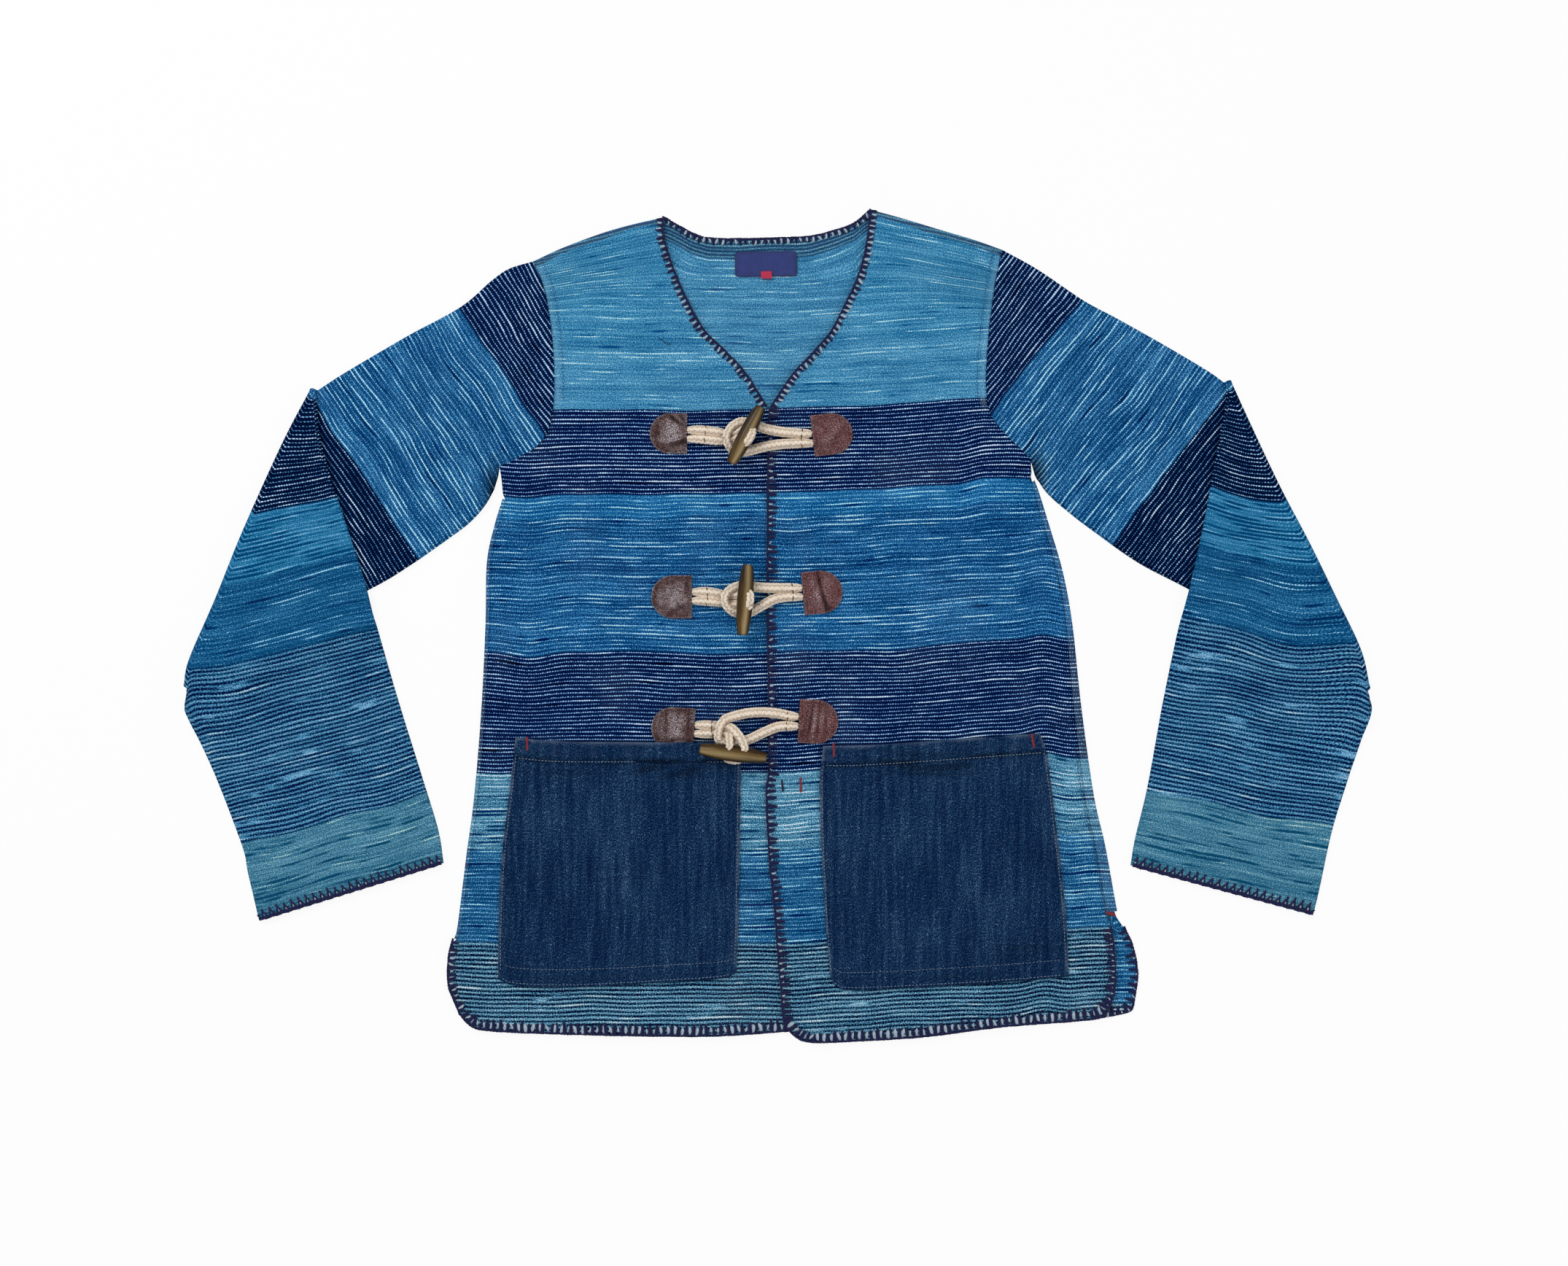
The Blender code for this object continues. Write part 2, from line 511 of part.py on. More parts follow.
def edge_normals(edge, opposite):
    """Unit normals of a tube's edge line in plan, pointing away from its opposite edge."""
    along = unit(np.gradient(edge, axis=0))
    normals = np.stack([along[:, 1], -along[:, 0]], axis=1)
    return normals * np.sign(((edge - opposite) * normals).sum(axis=1, keepdims=True))


def ring(line, first, last, bend):
    """One section of a flattened tube over a plan line, lower layer out and upper layer back.

    `first` and `last` point out of the tube's two edges, and `bend` puts the plan points and their
    heights in the flat tube to their place.
    """
    flat = line.copy()
    flat[0] = flat[0] - first * EDGE
    flat[-1] = flat[-1] - last * EDGE
    angles = np.radians((-45, 0, 45))
    far = [flat[-1] + last * TURN * math.cos(a) for a in angles]
    near = [flat[0] + first * TURN * math.cos(a) for a in angles]
    rounds = LOW + TURN + TURN * np.sin(angles)
    places = np.vstack([flat, far, flat[::-1], near])
    heights = np.concatenate([np.full(len(flat), LOW), rounds, np.full(len(flat), HIGH), rounds[::-1]])
    return bend(places, heights)


def fold_bend(axis, out, angle):
    """Turns flat places about the elbow fold's axis line, which looks along `out` to its outer side."""

    along = np.array([-out[1], out[0]])
    order = np.argsort(axis @ along)
    runs, bows = (axis @ along)[order], (axis @ out)[order]

    def bend(places, heights):
        past = places @ out - np.interp(places @ along, runs, bows)
        reach = FOLD_AXIS - heights
        moved = reach * math.sin(angle) + past * (math.cos(angle) - 1)
        height = FOLD_AXIS - reach * math.cos(angle) + past * math.sin(angle)
        return np.column_stack([places + moved[:, None] * out, np.maximum(height, LOW)])

    return bend


def laid_bend(line, lift_in, lift_out):
    """Lays a turned section down from the fold's height to the floor, by its two ends' lifts."""

    def bend(places, heights):
        share = np.linalg.norm(places - line[0], axis=1) / np.linalg.norm(line[-1] - line[0])
        lift = lift_in + np.clip(share, 0, 1) * (lift_out - lift_in)
        return np.column_stack([places, 2 * FOLD_AXIS - heights - (TUBE + 2 * FOLD_GAP) * (1 - lift)])

    return bend


def build_sleeve(side, collection):
    """A flattened tube: out from the armhole, turned over at the elbow and laid back across itself."""
    curves = CURVES[side]
    hole = np.vstack([armhole(side), curves["slit_sleeve"]])
    fold = through(curves["fold"], FOLD_STOPS)
    out = unit(np.array([fold[0, 1] - fold[-1, 1], fold[-1, 0] - fold[0, 0]]))
    out = out * np.sign(out[0] * fold[0, 0])
    axis = fold - out * FOLD_AXIS
    start = hole + outward(hole) * SEAM
    over = through(np.vstack([start[:1], curves["overarm"][1:-1], axis[:1]]), SLEEVE_UPPER)
    under = through(np.vstack([start[-1:], curves["underarm"][1:-1], axis[-1:]]), SLEEVE_UPPER)
    upper = coons(start, axis, over, under, FOLD_STOPS)
    firsts, lasts = edge_normals(over, under), edge_normals(under, over)
    sections = [ring(*row, fold_bend(axis, out, 0.0)) for row in zip(upper, firsts, lasts)]
    for angle in np.linspace(0, math.pi, FOLD_STEPS + 1)[1:]:
        sections.append(ring(axis, firsts[-1], lasts[-1], fold_bend(axis, out, angle)))

    inner = through(np.vstack([axis[:1], curves["inner"]]), [0.0] + [row[0] for row in LOWER_SLEEVE])
    outer = through(np.vstack([axis[-1:], curves["outer"]]), [0.0] + [row[1] for row in LOWER_SLEEVE])
    firsts, lasts = edge_normals(inner, outer), edge_normals(outer, inner)
    spread = np.asarray(FOLD_STOPS)[:, None]
    bow = axis - axis[0] - spread * (axis[-1] - axis[0])
    for row, (_, _, lift_in, lift_out) in enumerate(LOWER_SLEEVE, start=1):
        line = inner[row] + spread * (outer[row] - inner[row]) + bow * max(0.0, 1 - row / FAN_ROWS)
        sections.append(ring(line, firsts[row], lasts[row], laid_bend(line, lift_in, lift_out)))
    points = np.stack(sections)
    numbers = numbered(*points.shape[:2])
    numbers = np.column_stack([numbers, numbers[:, 0]])
    surface("sleeve_" + side, points, quads(numbers), "indigo_cloth", collection, CLOTH)


# ---------------------------------------------------------------- pockets and label


def build_pocket(side, collection):
    """A patch pocket, lying just clear of its front, with its mouth lifted where a patch is tucked in."""
    borders = POCKETS[side]
    top = through(borders["top"], POCKET_COLUMNS)
    bottom = through(borders["bottom"], POCKET_COLUMNS)
    outer = through(borders["side"], POCKET_ROWS)
    inner = through(borders["centre"], POCKET_ROWS)
    plan = coons(top, bottom, outer, inner)
    rise = (CLOTH + DENIM) / 2 + POCKET_GAP
    if side == "right":
        reach = np.abs(plan[..., 0] - GAPE_CENTRE)
        depth = top[None, :, 1] - plan[..., 1]
        rise = rise + GAPE * (1 - smooth(GAPE_FLAT, GAPE_END, reach)) * (1 - smooth(*GAPE_DEPTH, depth))
    points = on_panel(side, plan, rise)
    surface("pocket_" + side, points, quads(numbered(*plan.shape[:2])), "denim", collection, DENIM)


def build_label(collection):
    """The label and its tab, each a flat piece of tape between its four corners."""
    height = CLOTH
    for name, corners, finish in (("neck_label", LABEL, "label_cloth"), ("label_tab", TAB, "red_cloth")):
        height += LABEL_GAP + LABEL_CLOTH / 2
        points = [(x, y, height) for x, y in corners]
        surface(name, points, [(0, 1, 2, 3)], finish, collection, LABEL_CLOTH)
        height += LABEL_CLOTH / 2


# ---------------------------------------------------------------- fastenings


def build_patch(name, side, spec, collection):
    """A D of leather, level with its panel underneath and crowned over the rope ends."""
    x, y, width, height, tilt, way = spec
    radius = height / 2
    angles = np.radians(PATCH_ROUND)
    reach = np.concatenate([[0, (width - radius) / 2], width - radius + radius * np.sin(angles)])
    half = np.concatenate([[radius, radius], radius * np.cos(angles)])
    across = reach[:, None] * np.ones(len(PATCH_ROWS))
    along = half[:, None] * np.array(PATCH_ROWS)
    c, s = math.cos(math.radians(tilt)), math.sin(math.radians(tilt))
    plan = np.dstack([x + way * across * c - along * s, y + way * across * s + along * c])
    crown = PATCH_CROWN * (1 - smooth(0.1, 0.95, across / width)) * (1 - smooth(*ROPE_END, np.abs(along)))
    under = on_panel(side, plan, CLOTH / 2 + PATCH_GAP)
    over = under + np.dstack([np.zeros_like(plan), (LEATHER + crown)[..., None]])
    rows, columns = across.shape
    low, high = numbered(rows, columns), numbered(rows, columns) + rows * columns
    rim = np.concatenate([low[0, :-1], low[:-1, -1], low[-1, :0:-1], low[:0:-1, 0]])
    rim = np.append(rim, rim[0])
    faces = quads(low) + quads(high) + quads(np.stack([rim, rim + rows * columns]))
    mesh = bpy.data.meshes.new(name)
    mesh.from_pydata((np.vstack([under.reshape(-1, 3), over.reshape(-1, 3)]) * MM).tolist(), [], faces)
    recalculate(mesh)
    mesh.shade_smooth()
    mesh.set_sharp_from_angle(angle=PATCH_SHARP)
    add_object(name, mesh, "leather", collection)


def tube(name, route, grow, collection):
    """A round rope along a smooth curve through hand-picked points, each with its share of the radius."""
    route = np.asarray(route, float)
    length = np.linalg.norm(np.diff(route[:, :3], axis=0), axis=1).sum()
    line = through(route, np.linspace(0, 1, int(length / ROPE_STEP) + 1))
    curve = bpy.data.curves.new(name, "CURVE")
    curve.dimensions = "3D"
    curve.bevel_depth = MM
    curve.bevel_resolution = 2
    curve.use_fill_caps = True
    spline = curve.splines.new("POLY")
    spline.points.add(len(line) - 1)
    for point, (x, y, z, share) in zip(spline.points, line):
        point.co = (x * MM, y * MM, z * MM, 1)
        point.radius = ROPE * share + grow
    spline.use_smooth = True
    return add_object(name, curve, "rope", collection)


def toggle_frame(spec):
    """A toggle's middle, the unit vector along its axis, and the one along the rope's way through it."""
    x1, y1, x2, y2, height, _, slope, _ = spec
    middle = np.array([(x1 + x2) / 2, (y1 + y2) / 2, height])
    axis = unit([x2 - x1, y2 - y1, 0])
    flank = np.array([axis[1], -axis[0], 0])
    way = flank * math.cos(math.radians(slope)) + np.array([0, 0, math.sin(math.radians(slope))])
    return middle, axis, way


def toggle_route(spec, strands):
    """The rope's route: along one strand, up through the toggle, over its face, down and back."""
    middle, axis, way = toggle_frame(spec)

    def passage(kind, sign):
        return [(*(middle + axis * run * sign + way * depth), share) for run, depth, share in PASSAGES[kind]]

    first, second = strands
    return np.vstack([first, passage(spec[-1], 1), passage("close", -1)[-2::-1], second[::-1]])


def rope_cutter(name, route, cutters):
    """The rope's way through a toggle as a closed mesh, a little wider than the rope."""
    guide = tube(name, route, HOLE, cutters)
    bpy.context.view_layer.update()
    graph = bpy.context.evaluated_depsgraph_get()
    mesh = bpy.data.meshes.new_from_object(guide.evaluated_get(graph))
    work = bmesh.new()
    work.from_mesh(mesh)
    bmesh.ops.remove_doubles(work, verts=work.verts, dist=MERGE)
    bmesh.ops.recalc_face_normals(work, faces=work.faces)
    work.to_mesh(mesh)
    work.free()
    place = guide.matrix_world.copy()
    bpy.data.objects.remove(guide)
    made = bpy.data.objects.new(name, mesh)
    cutters.objects.link(made)
    made.matrix_world = place
    made.hide_render = True
    made.display_type = "WIRE"
    return made


def build_toggle(name, spec, route, collection, cutters):
    """A turned spindle with flat ends, cut by its rope's way through it."""
    x1, y1, x2, y2, _, radius, _, _ = spec
    middle, axis, _ = toggle_frame(spec)
    half = math.hypot(x2 - x1, y2 - y1) / 2
    stops = np.linspace(1, -1, TOGGLE_STOPS)
    radii = radius * (TOGGLE_END + (1 - TOGGLE_END) * (1 - stops**2) ** 0.8)
    radii[[0, -1]] -= TOGGLE_CHAMFER
    profile = [(0, 0, half)] + [(r, 0, half * t) for r, t in zip(radii, stops)] + [(0, 0, -half)]
    mesh = bpy.data.meshes.new(name)
    edges = [(k, k + 1) for k in range(len(profile) - 1)]
    mesh.from_pydata([tuple(value * MM for value in point) for point in profile], edges, [])
    made = add_object(name, mesh, "wood", collection)
    made.location = middle * MM
    made.rotation_euler = (math.pi / 2, 0, math.atan2(axis[1], axis[0]) + math.pi / 2)
    turn = made.modifiers.new("turned", "SCREW")
    turn.steps = turn.render_steps = TOGGLE_SIDES
    turn.use_merge_vertices = True
    turn.merge_threshold = MERGE
    turn.use_smooth_shade = True
    bored = made.modifiers.new("rope_way", "BOOLEAN")
    bored.operation = "DIFFERENCE"
    bored.object = rope_cutter(name + "_rope_way", route, cutters)


def build_fastenings(collection, cutters):
    """Three sets of a leather patch on each front, a rope through the toggle, and a rope loop round it."""
    for number, spec in enumerate(TOGGLES):
        label = f"_{number + 1}"
        build_patch("toggle_patch" + label, "right", PATCHES["toggle"][number], collection)
        build_patch("loop_patch" + label, "left", PATCHES["loop"][number], collection)
        route = toggle_route(spec, TOGGLE_STRANDS[number])
        tube("toggle_cord" + label, route, 0.0, collection)
        tube("loop_cord" + label, LOOPS[number], 0.0, collection)
        build_toggle("toggle" + label, spec, route, collection, cutters)


# ---------------------------------------------------------------- the scene


def new_collection(name):
    made = bpy.data.collections.new(name)
    bpy.context.scene.collection.children.link(made)
    return made


def main():
    for item in list(bpy.data.objects):
        bpy.data.objects.remove(item, do_unlink=True)
    jacket, cutters = new_collection("toggle_jacket"), new_collection("cutters")
    build_back(jacket)
    for side in ("right", "left"):
        build_front(side, jacket)
        build_sleeve(side, jacket)
        build_pocket(side, jacket)
    build_label(jacket)
    build_fastenings(jacket, cutters)


main()
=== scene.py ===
"""The looks of an indigo striped jacket that lies flat with its sleeves folded over.

Every piece is worked out in the jacket's own frame: X across the chest to the wearer's left, Y up to the
neck and Z up off the surface it lies on. Sizes are in millimetres until a mesh is written, in metres. The
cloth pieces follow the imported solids' outlines at a finer step, with their creases, seams and weave.
"""

from __future__ import annotations

import json
import logging
import math
from collections.abc import Callable, Mapping, Sequence
from dataclasses import dataclass, field, replace
from enum import Enum
from functools import cache, partialmethod
from typing import Any

import bmesh
import bpy
import numpy as np
from numpy.typing import NDArray
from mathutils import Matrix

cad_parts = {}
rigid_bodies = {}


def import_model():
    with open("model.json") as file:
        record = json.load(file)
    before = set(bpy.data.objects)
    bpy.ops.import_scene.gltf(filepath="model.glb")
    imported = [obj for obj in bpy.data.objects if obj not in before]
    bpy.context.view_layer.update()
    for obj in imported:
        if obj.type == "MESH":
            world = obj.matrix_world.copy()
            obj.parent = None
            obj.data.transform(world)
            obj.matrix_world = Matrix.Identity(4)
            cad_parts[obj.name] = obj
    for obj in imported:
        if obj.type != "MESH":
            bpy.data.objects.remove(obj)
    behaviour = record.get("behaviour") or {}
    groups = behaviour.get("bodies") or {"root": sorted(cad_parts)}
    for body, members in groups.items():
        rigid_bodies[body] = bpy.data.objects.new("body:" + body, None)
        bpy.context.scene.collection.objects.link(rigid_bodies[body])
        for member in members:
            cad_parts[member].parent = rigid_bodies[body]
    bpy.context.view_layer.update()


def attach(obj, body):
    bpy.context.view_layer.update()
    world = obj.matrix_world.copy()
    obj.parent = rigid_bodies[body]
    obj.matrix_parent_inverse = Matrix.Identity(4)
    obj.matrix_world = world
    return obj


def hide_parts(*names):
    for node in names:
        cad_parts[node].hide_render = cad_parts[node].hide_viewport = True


Array = NDArray[np.float64]
Numbers = NDArray[np.int64]
Points = Sequence[Sequence[float]]
Height = Callable[[Array], Array]
Piece = bpy.types.Object
Finish = bpy.types.Material
Settings = Mapping[str, Any]
Inputs = Mapping[Any, Any]
LOG = logging.getLogger("jacket")
MM = 0.001
WAVES = 9

# Cloth and how it lies, as in the solids.
CLOTH = 1.6
DENIM = 1.6
SEAM = 0.12
LOFT = 2.6
TURN = LOFT / 2
EDGE = TURN + CLOTH / 2
LOW = CLOTH / 2
HIGH = LOW + LOFT
TUBE = LOFT + CLOTH
FOLD_GAP = 0.4
FOLD_AXIS = TUBE + FOLD_GAP
LAP_RISE = CLOTH + 0.4
LAP_FLAT, LAP_END = 20.0, 52.0
LAP_TOP = (182.0, 216.0)
SHOULDER_LIP, SHOULDER_GAP = 3.0, 0.9


class Side(Enum):
    """The wearer's side of the jacket."""

    RIGHT = "right"
    LEFT = "left"


# ---------------- numbers to shapes


def smooth(start: float, end: float, value: Any) -> Array:
    """0 before start, 1 after end and a soft step (3t squared less 2t cubed) between them."""
    step = np.clip((np.asarray(value, float) - start) / (end - start), 0.0, 1.0)
    return step * step * (3 - 2 * step)


def unit(vectors: Any) -> Array:
    """The vectors at length one."""
    vectors = np.asarray(vectors, float)
    return vectors / np.maximum(np.linalg.norm(vectors, axis=-1, keepdims=True), 1e-12)


def bell(value: Any, width: float, power: int = 2) -> Array:
    """A bell curve: e to the minus power (the square, or a higher one) of the value over the width."""
    return np.exp(-((value / width) ** power))


def at(stops: Any, run: Any, line: Any) -> Array:
    """A line's points at stops, each on the straight between the two points whose runs it is between."""
    return np.stack([np.interp(stops, run, column) for column in np.asarray(line, float).T], axis=-1)


def travelled(line: Array) -> Array:
    """How far along a line each of its points stands."""
    return np.concatenate([[0.0], np.cumsum(np.linalg.norm(np.diff(line, axis=0), axis=1))])


def through(points: Any, stops: Any) -> Array:
    """Points at fractions of the length of a smooth curve through given points.

    Between two neighbours the curve is the Catmull-Rom cubic of them and the one on each side.

    Args:
        points: The points that the curve passes, one row each, with any columns after the place.
        stops: Fractions of the curve's length, 0 to 1.

    Returns:
        One row for each stop.
    """
    points = np.asarray(points, float)
    ends = np.vstack([2 * points[0] - points[1], points, 2 * points[-1] - points[-2]])
    t = np.linspace(0, 1, 16, endpoint=False)[:, None]
    pieces = [
        0.5 * (2 * b + (c - a) * t + (2 * a - 5 * b + 4 * c - d) * t**2 + (3 * b - a - 3 * c + d) * t**3)
        for a, b, c, d in zip(ends, ends[1:], ends[2:], ends[3:])
    ]
    fine = np.vstack(pieces + [points[-1:]])
    run = travelled(fine)
    return at(np.asarray(stops) * run[-1], run, fine)


def even(points: Any, steps: int) -> Array:
    """A smooth curve through the points, as evenly spaced points."""
    return through(points, np.linspace(0, 1, steps + 1))


def length_of(line: Array) -> float:
    """The length of a line of points."""
    return float(np.linalg.norm(np.diff(line, axis=0), axis=1).sum())


def spaced(points: Any, step: float) -> Array:
    """A smooth curve through the points, as points about a step apart."""
    return even(points, max(2, round(length_of(even(points, 60)) / step)))


def to_left(ways: Array) -> Array:
    """Plan directions turned a quarter to the left."""
    return np.stack([-ways[..., 1], ways[..., 0]], axis=-1)


def directions(line: Array) -> Array:
    """A line's own direction at each of its points."""
    return unit(np.gradient(line, axis=0))


def outward(line: Array, inside: Any = 0.0) -> Array:
    """Unit normals of a plan line, on the side away from another line, or from the jacket's middle."""
    normals = to_left(directions(line))
    return normals * np.sign(((line - inside) * normals).sum(axis=1, keepdims=True))


def fractions(line: Array) -> Array:
    """How far along its own length each point of a line stands, 0 to 1."""
    run = travelled(line)
    return run / run[-1]


def coons(top: Array, bottom: Array, first: Array, last: Array, stops: Array | None = None) -> Array:
    """The plan grid that fills four border lines.

    A point is the blend across, plus the blend down, less the blend of the four corners (a Coons patch).

    Args:
        top: The first row's line.
        bottom: The last row's line.
        first: The first column's line.
        last: The last column's line.
        stops: Shares of the way across for the columns, or None to take them from the rows' lengths.

    Returns:
        The grid, rows by columns by two.
    """
    v = fractions(first + last)[:, None, None]
    u = (fractions(top + bottom) if stops is None else stops)[None, :, None]
    across = (1 - u) * first[:, None] + u * last[:, None]
    down = (1 - v) * top[None] + v * bottom[None]
    corners = (1 - v) * ((1 - u) * top[0] + u * top[-1]) + v * ((1 - u) * bottom[0] + u * bottom[-1])
    return across + down - corners


def ripple(plan: Array, size: float, seed: int) -> Array:
    """Smooth uneven ripples, about -1 to 1.

    It is the sum of plane sine waves in random directions, of lengths from 0.7 to 2 times `size`, divided
    by the root of half their number.

    Args:
        plan: The plan points, with any further columns left unread.
        size: The typical distance from crest to crest.
        seed: Picks the random directions, lengths and phases.

    Returns:
        The heights, one for each point.
    """
    draw = np.random.default_rng(seed)
    x, y = plan[..., 0], plan[..., 1]
    total = np.zeros(x.shape)
    for _ in range(WAVES):
        heading, phase = draw.uniform(0, 2 * math.pi, 2)
        pitch = size * draw.uniform(0.7, 2.0)
        total = total + np.sin((x * math.cos(heading) + y * math.sin(heading)) * 2 * math.pi / pitch + phase)
    return total / math.sqrt(WAVES / 2) / 1.6


@dataclass(frozen=True)
class Crease:
    """One crease in plan: a soft ridge where its rise is above zero, a trough where it is below.

    Its height is the rise times a bell curve of the distance from its middle over its half-length, times
    one of the distance from its line over its half-width.
    """

    x: float
    y: float
    heading: float
    length: float
    width: float
    rise: float
    bow: float = 0.0

    def height(self, x: Array, y: Array) -> Array:
        """The crease's height over plan points.

        Args:
            x: The points' first coordinates.
            y: Their second ones.

        Returns:
            The heights.
        """
        c, s = math.cos(math.radians(self.heading)), math.sin(math.radians(self.heading))
        along = ((x - self.x) * c + (y - self.y) * s) / (self.length / 2)
        across = ((y - self.y) * c - (x - self.x) * s - self.bow * along**2) / (self.width / 2)
        return self.rise * bell(along, 1) * bell(across, 1)


def creases(*rows: Sequence[float]) -> tuple[Crease, ...]:
    """Creases from rows of their values: x, y, heading, length, width, rise and bow."""
    return tuple(Crease(*row) for row in rows)


def relief(folds: Sequence[Crease], plan: Array) -> Array:
    """The heights of several creases together over a plan grid."""
    x, y = plan[..., 0], plan[..., 1]
    return sum((crease.height(x, y) for crease in folds), np.zeros(x.shape))


# ---------------- meshes


def numbered(rows: int, columns: int, start: int = 0) -> Numbers:
    """Vertex numbers of a grid, row by row."""
    return start + np.arange(rows * columns).reshape(rows, columns)


def quads(numbers: Numbers) -> Numbers:
    """Faces between the neighbours of a grid of vertex numbers."""
    a, b, c, d = numbers[:-1, :-1], numbers[:-1, 1:], numbers[1:, 1:], numbers[1:, :-1]
    return np.stack([a, b, c, d], axis=-1).reshape(-1, 4)


@dataclass
class Patchwork:
    """A mesh as it is gathered: points, four-sided faces, and each point's place on the cloth, fading and
    painted light.

    `where` is the UV map, in metres along the weave's rows and across them. `wear_and_shade` is above 0
    where a finish is faded pale or carries a painted highlight, and below 0 where painted shade darkens it.
    """

    points: list[Array] = field(default_factory=list)
    faces: list[Numbers] = field(default_factory=list)
    where: list[Array] = field(default_factory=list)
    wear_and_shade: list[Array] = field(default_factory=list)
    count: int = 0

    def add(self, points: Array, faces: Numbers, where: Array, wear_and_shade: Any = 0.0) -> Numbers:
        """Adds points and the faces between them.

        Args:
            points: The new points, in any grid shape, in millimetres.
            faces: Faces numbered from this call's first point on.
            where: The points' places on the cloth, in metres.
            wear_and_shade: The points' fading and painted light and shade, one value or one each.

        Returns:
            The points' numbers, in their grid's shape.
        """
        shape = points.shape[:-1]
        flat = points.reshape(-1, 3)
        self.points.append(flat)
        self.faces.append(faces + self.count)
        self.where.append(where.reshape(-1, 2))
        self.wear_and_shade.append(np.broadcast_to(np.asarray(wear_and_shade, float), shape).reshape(-1))
        numbers = self.count + np.arange(len(flat)).reshape(shape)
        self.count += len(flat)
        return numbers

    def lay(self, points: Array, where: Array, wear_and_shade: Any = 0.0) -> Numbers:
        """Adds a grid of points with the faces between its neighbours, and gives the points' numbers."""
        return self.add(points, quads(numbered(*points.shape[:2])), where, wear_and_shade)

    def make(
        self, name: str, finish: Finish, thickness: float = 0.0, merge: float = 0.0, turn: bool = False
    ) -> Piece:
        """Writes the mesh, in metres, as a smooth-shaded object.

        Args:
            name: The object's name.
            finish: Its material.
            thickness: The wall laid to both sides of the surface, in millimetres, or 0 for none.
            merge: Points nearer than this, in millimetres, become one.
            turn: Whether the faces are turned to agree and to look outwards.

        Returns:
            The object, linked to the scene, with its mesh at its place.
        """
        mesh = bpy.data.meshes.new(name)
        points, faces = np.vstack(self.points) * MM, np.vstack(self.faces)
        mesh.vertices.add(len(points))
        mesh.vertices.foreach_set("co", points.ravel())
        mesh.loops.add(faces.size)
        mesh.loops.foreach_set("vertex_index", faces.ravel().astype(np.int32))
        mesh.polygons.add(len(faces))
        mesh.polygons.foreach_set("loop_start", np.arange(0, faces.size, 4, dtype=np.int32))
        mesh.uv_layers.new(name="cloth").data.foreach_set("uv", np.vstack(self.where)[faces.ravel()].ravel())
        shade_and_wear = mesh.attributes.new("wear_and_shade", "FLOAT", "POINT")
        shade_and_wear.data.foreach_set("value", np.concatenate(self.wear_and_shade).astype(np.float32))
        mesh.update(calc_edges=True)
        mesh.validate()
        if merge or turn:
            work = bmesh.new()
            work.from_mesh(mesh)
            if merge:
                bmesh.ops.remove_doubles(work, verts=work.verts, dist=merge * MM)
            if turn:
                bmesh.ops.recalc_face_normals(work, faces=work.faces)
            work.to_mesh(mesh)
            work.free()
        mesh.shade_smooth()
        made = bpy.data.objects.new(name, mesh)
        mesh.materials.append(finish)
        bpy.context.scene.collection.objects.link(made)
        if thickness:
            wall = made.modifiers.new("wall", "SOLIDIFY")
            wall.thickness = thickness * MM
            wall.offset = 0
        return made


def tubes(
    cloth: Patchwork,
    paths: Array,
    radii: Any,
    across: Array | None = None,
    sides: int = 6,
    flat: float = 1.0,
    wear_and_shade: Any = 0.0,
) -> None:
    """Adds round yarns along paths that have the same number of points.

    A ring's point is the path's point plus the radius times the cosine and sine of its angle along two
    directions square to the path. Both ends are closed.

    Args:
        cloth: The mesh that takes them.
        paths: One path for each yarn: yarns by points by three.
        radii: The radius at each point, or one for all.
        across: A direction for each path that stays clear of its own, or None for straight up.
        sides: How many points a ring has, an even number.
        flat: The second direction's share of the radius, under 1 for a flattened yarn.
        wear_and_shade: Fading and painted light and shade at each path point, or one value.
    """
    paths = np.asarray(paths, float)
    many, steps = paths.shape[:2]
    along = unit(np.gradient(paths, axis=1))
    guide = np.array([0.0, 0.0, 1.0]) if across is None else np.asarray(across, float)[:, None, :]
    first = unit(guide - (guide * along).sum(-1, keepdims=True) * along)
    second = np.cross(along, first)
    angles = np.linspace(0, 2 * math.pi, sides, endpoint=False)
    radius = np.broadcast_to(np.asarray(radii, float), (many, steps))[:, :, None, None]
    ring = first[:, :, None] * flat * np.cos(angles)[:, None] + second[:, :, None] * np.sin(angles)[:, None]
    points = paths[:, :, None] + radius * ring
    run = np.stack([travelled(path) for path in paths])
    where = np.stack(np.broadcast_arrays(run[:, :, None] * MM, angles / (2 * math.pi)), axis=-1)
    numbers = np.arange(many * steps * sides).reshape(many, steps, sides)
    wrapped = np.concatenate([numbers, numbers[:, :, :1]], axis=2)
    a, b = wrapped[:, :-1, :-1], wrapped[:, :-1, 1:]
    c, d = wrapped[:, 1:, 1:], wrapped[:, 1:, :-1]
    walls = np.stack([a, b, c, d], axis=-1).reshape(-1, 4)
    cap = np.array([(0, k, k + 1, k + 2) for k in range(1, sides - 1, 2)])
    starts = numbers[:, 0][:, cap[:, ::-1]].reshape(-1, 4)
    ends = numbers[:, -1][:, cap].reshape(-1, 4)
    shade_and_wear = np.broadcast_to(np.asarray(wear_and_shade, float), (many, steps))[:, :, None]
    cloth.add(points, np.vstack([walls, starts, ends]), where, np.broadcast_to(shade_and_wear, numbers.shape))


# ---------------- shader maths


def colour(code: str) -> tuple[float, float, float, float]:
    """A screen colour written as six hex digits, as linear red, green, blue and alpha.

    A channel is its value over 12.92 up to 0.04045, and ((value + 0.055) / 1.055) to the 2.4 above.

    Args:
        code: The six digits.

    Returns:
        The four channels.
    """
    shown = [int(code[k : k + 2], 16) / 255 for k in (0, 2, 4)]
    red, green, blue = (v / 12.92 if v <= 0.04045 else ((v + 0.055) / 1.055) ** 2.4 for v in shown)
    return red, green, blue, 1.0


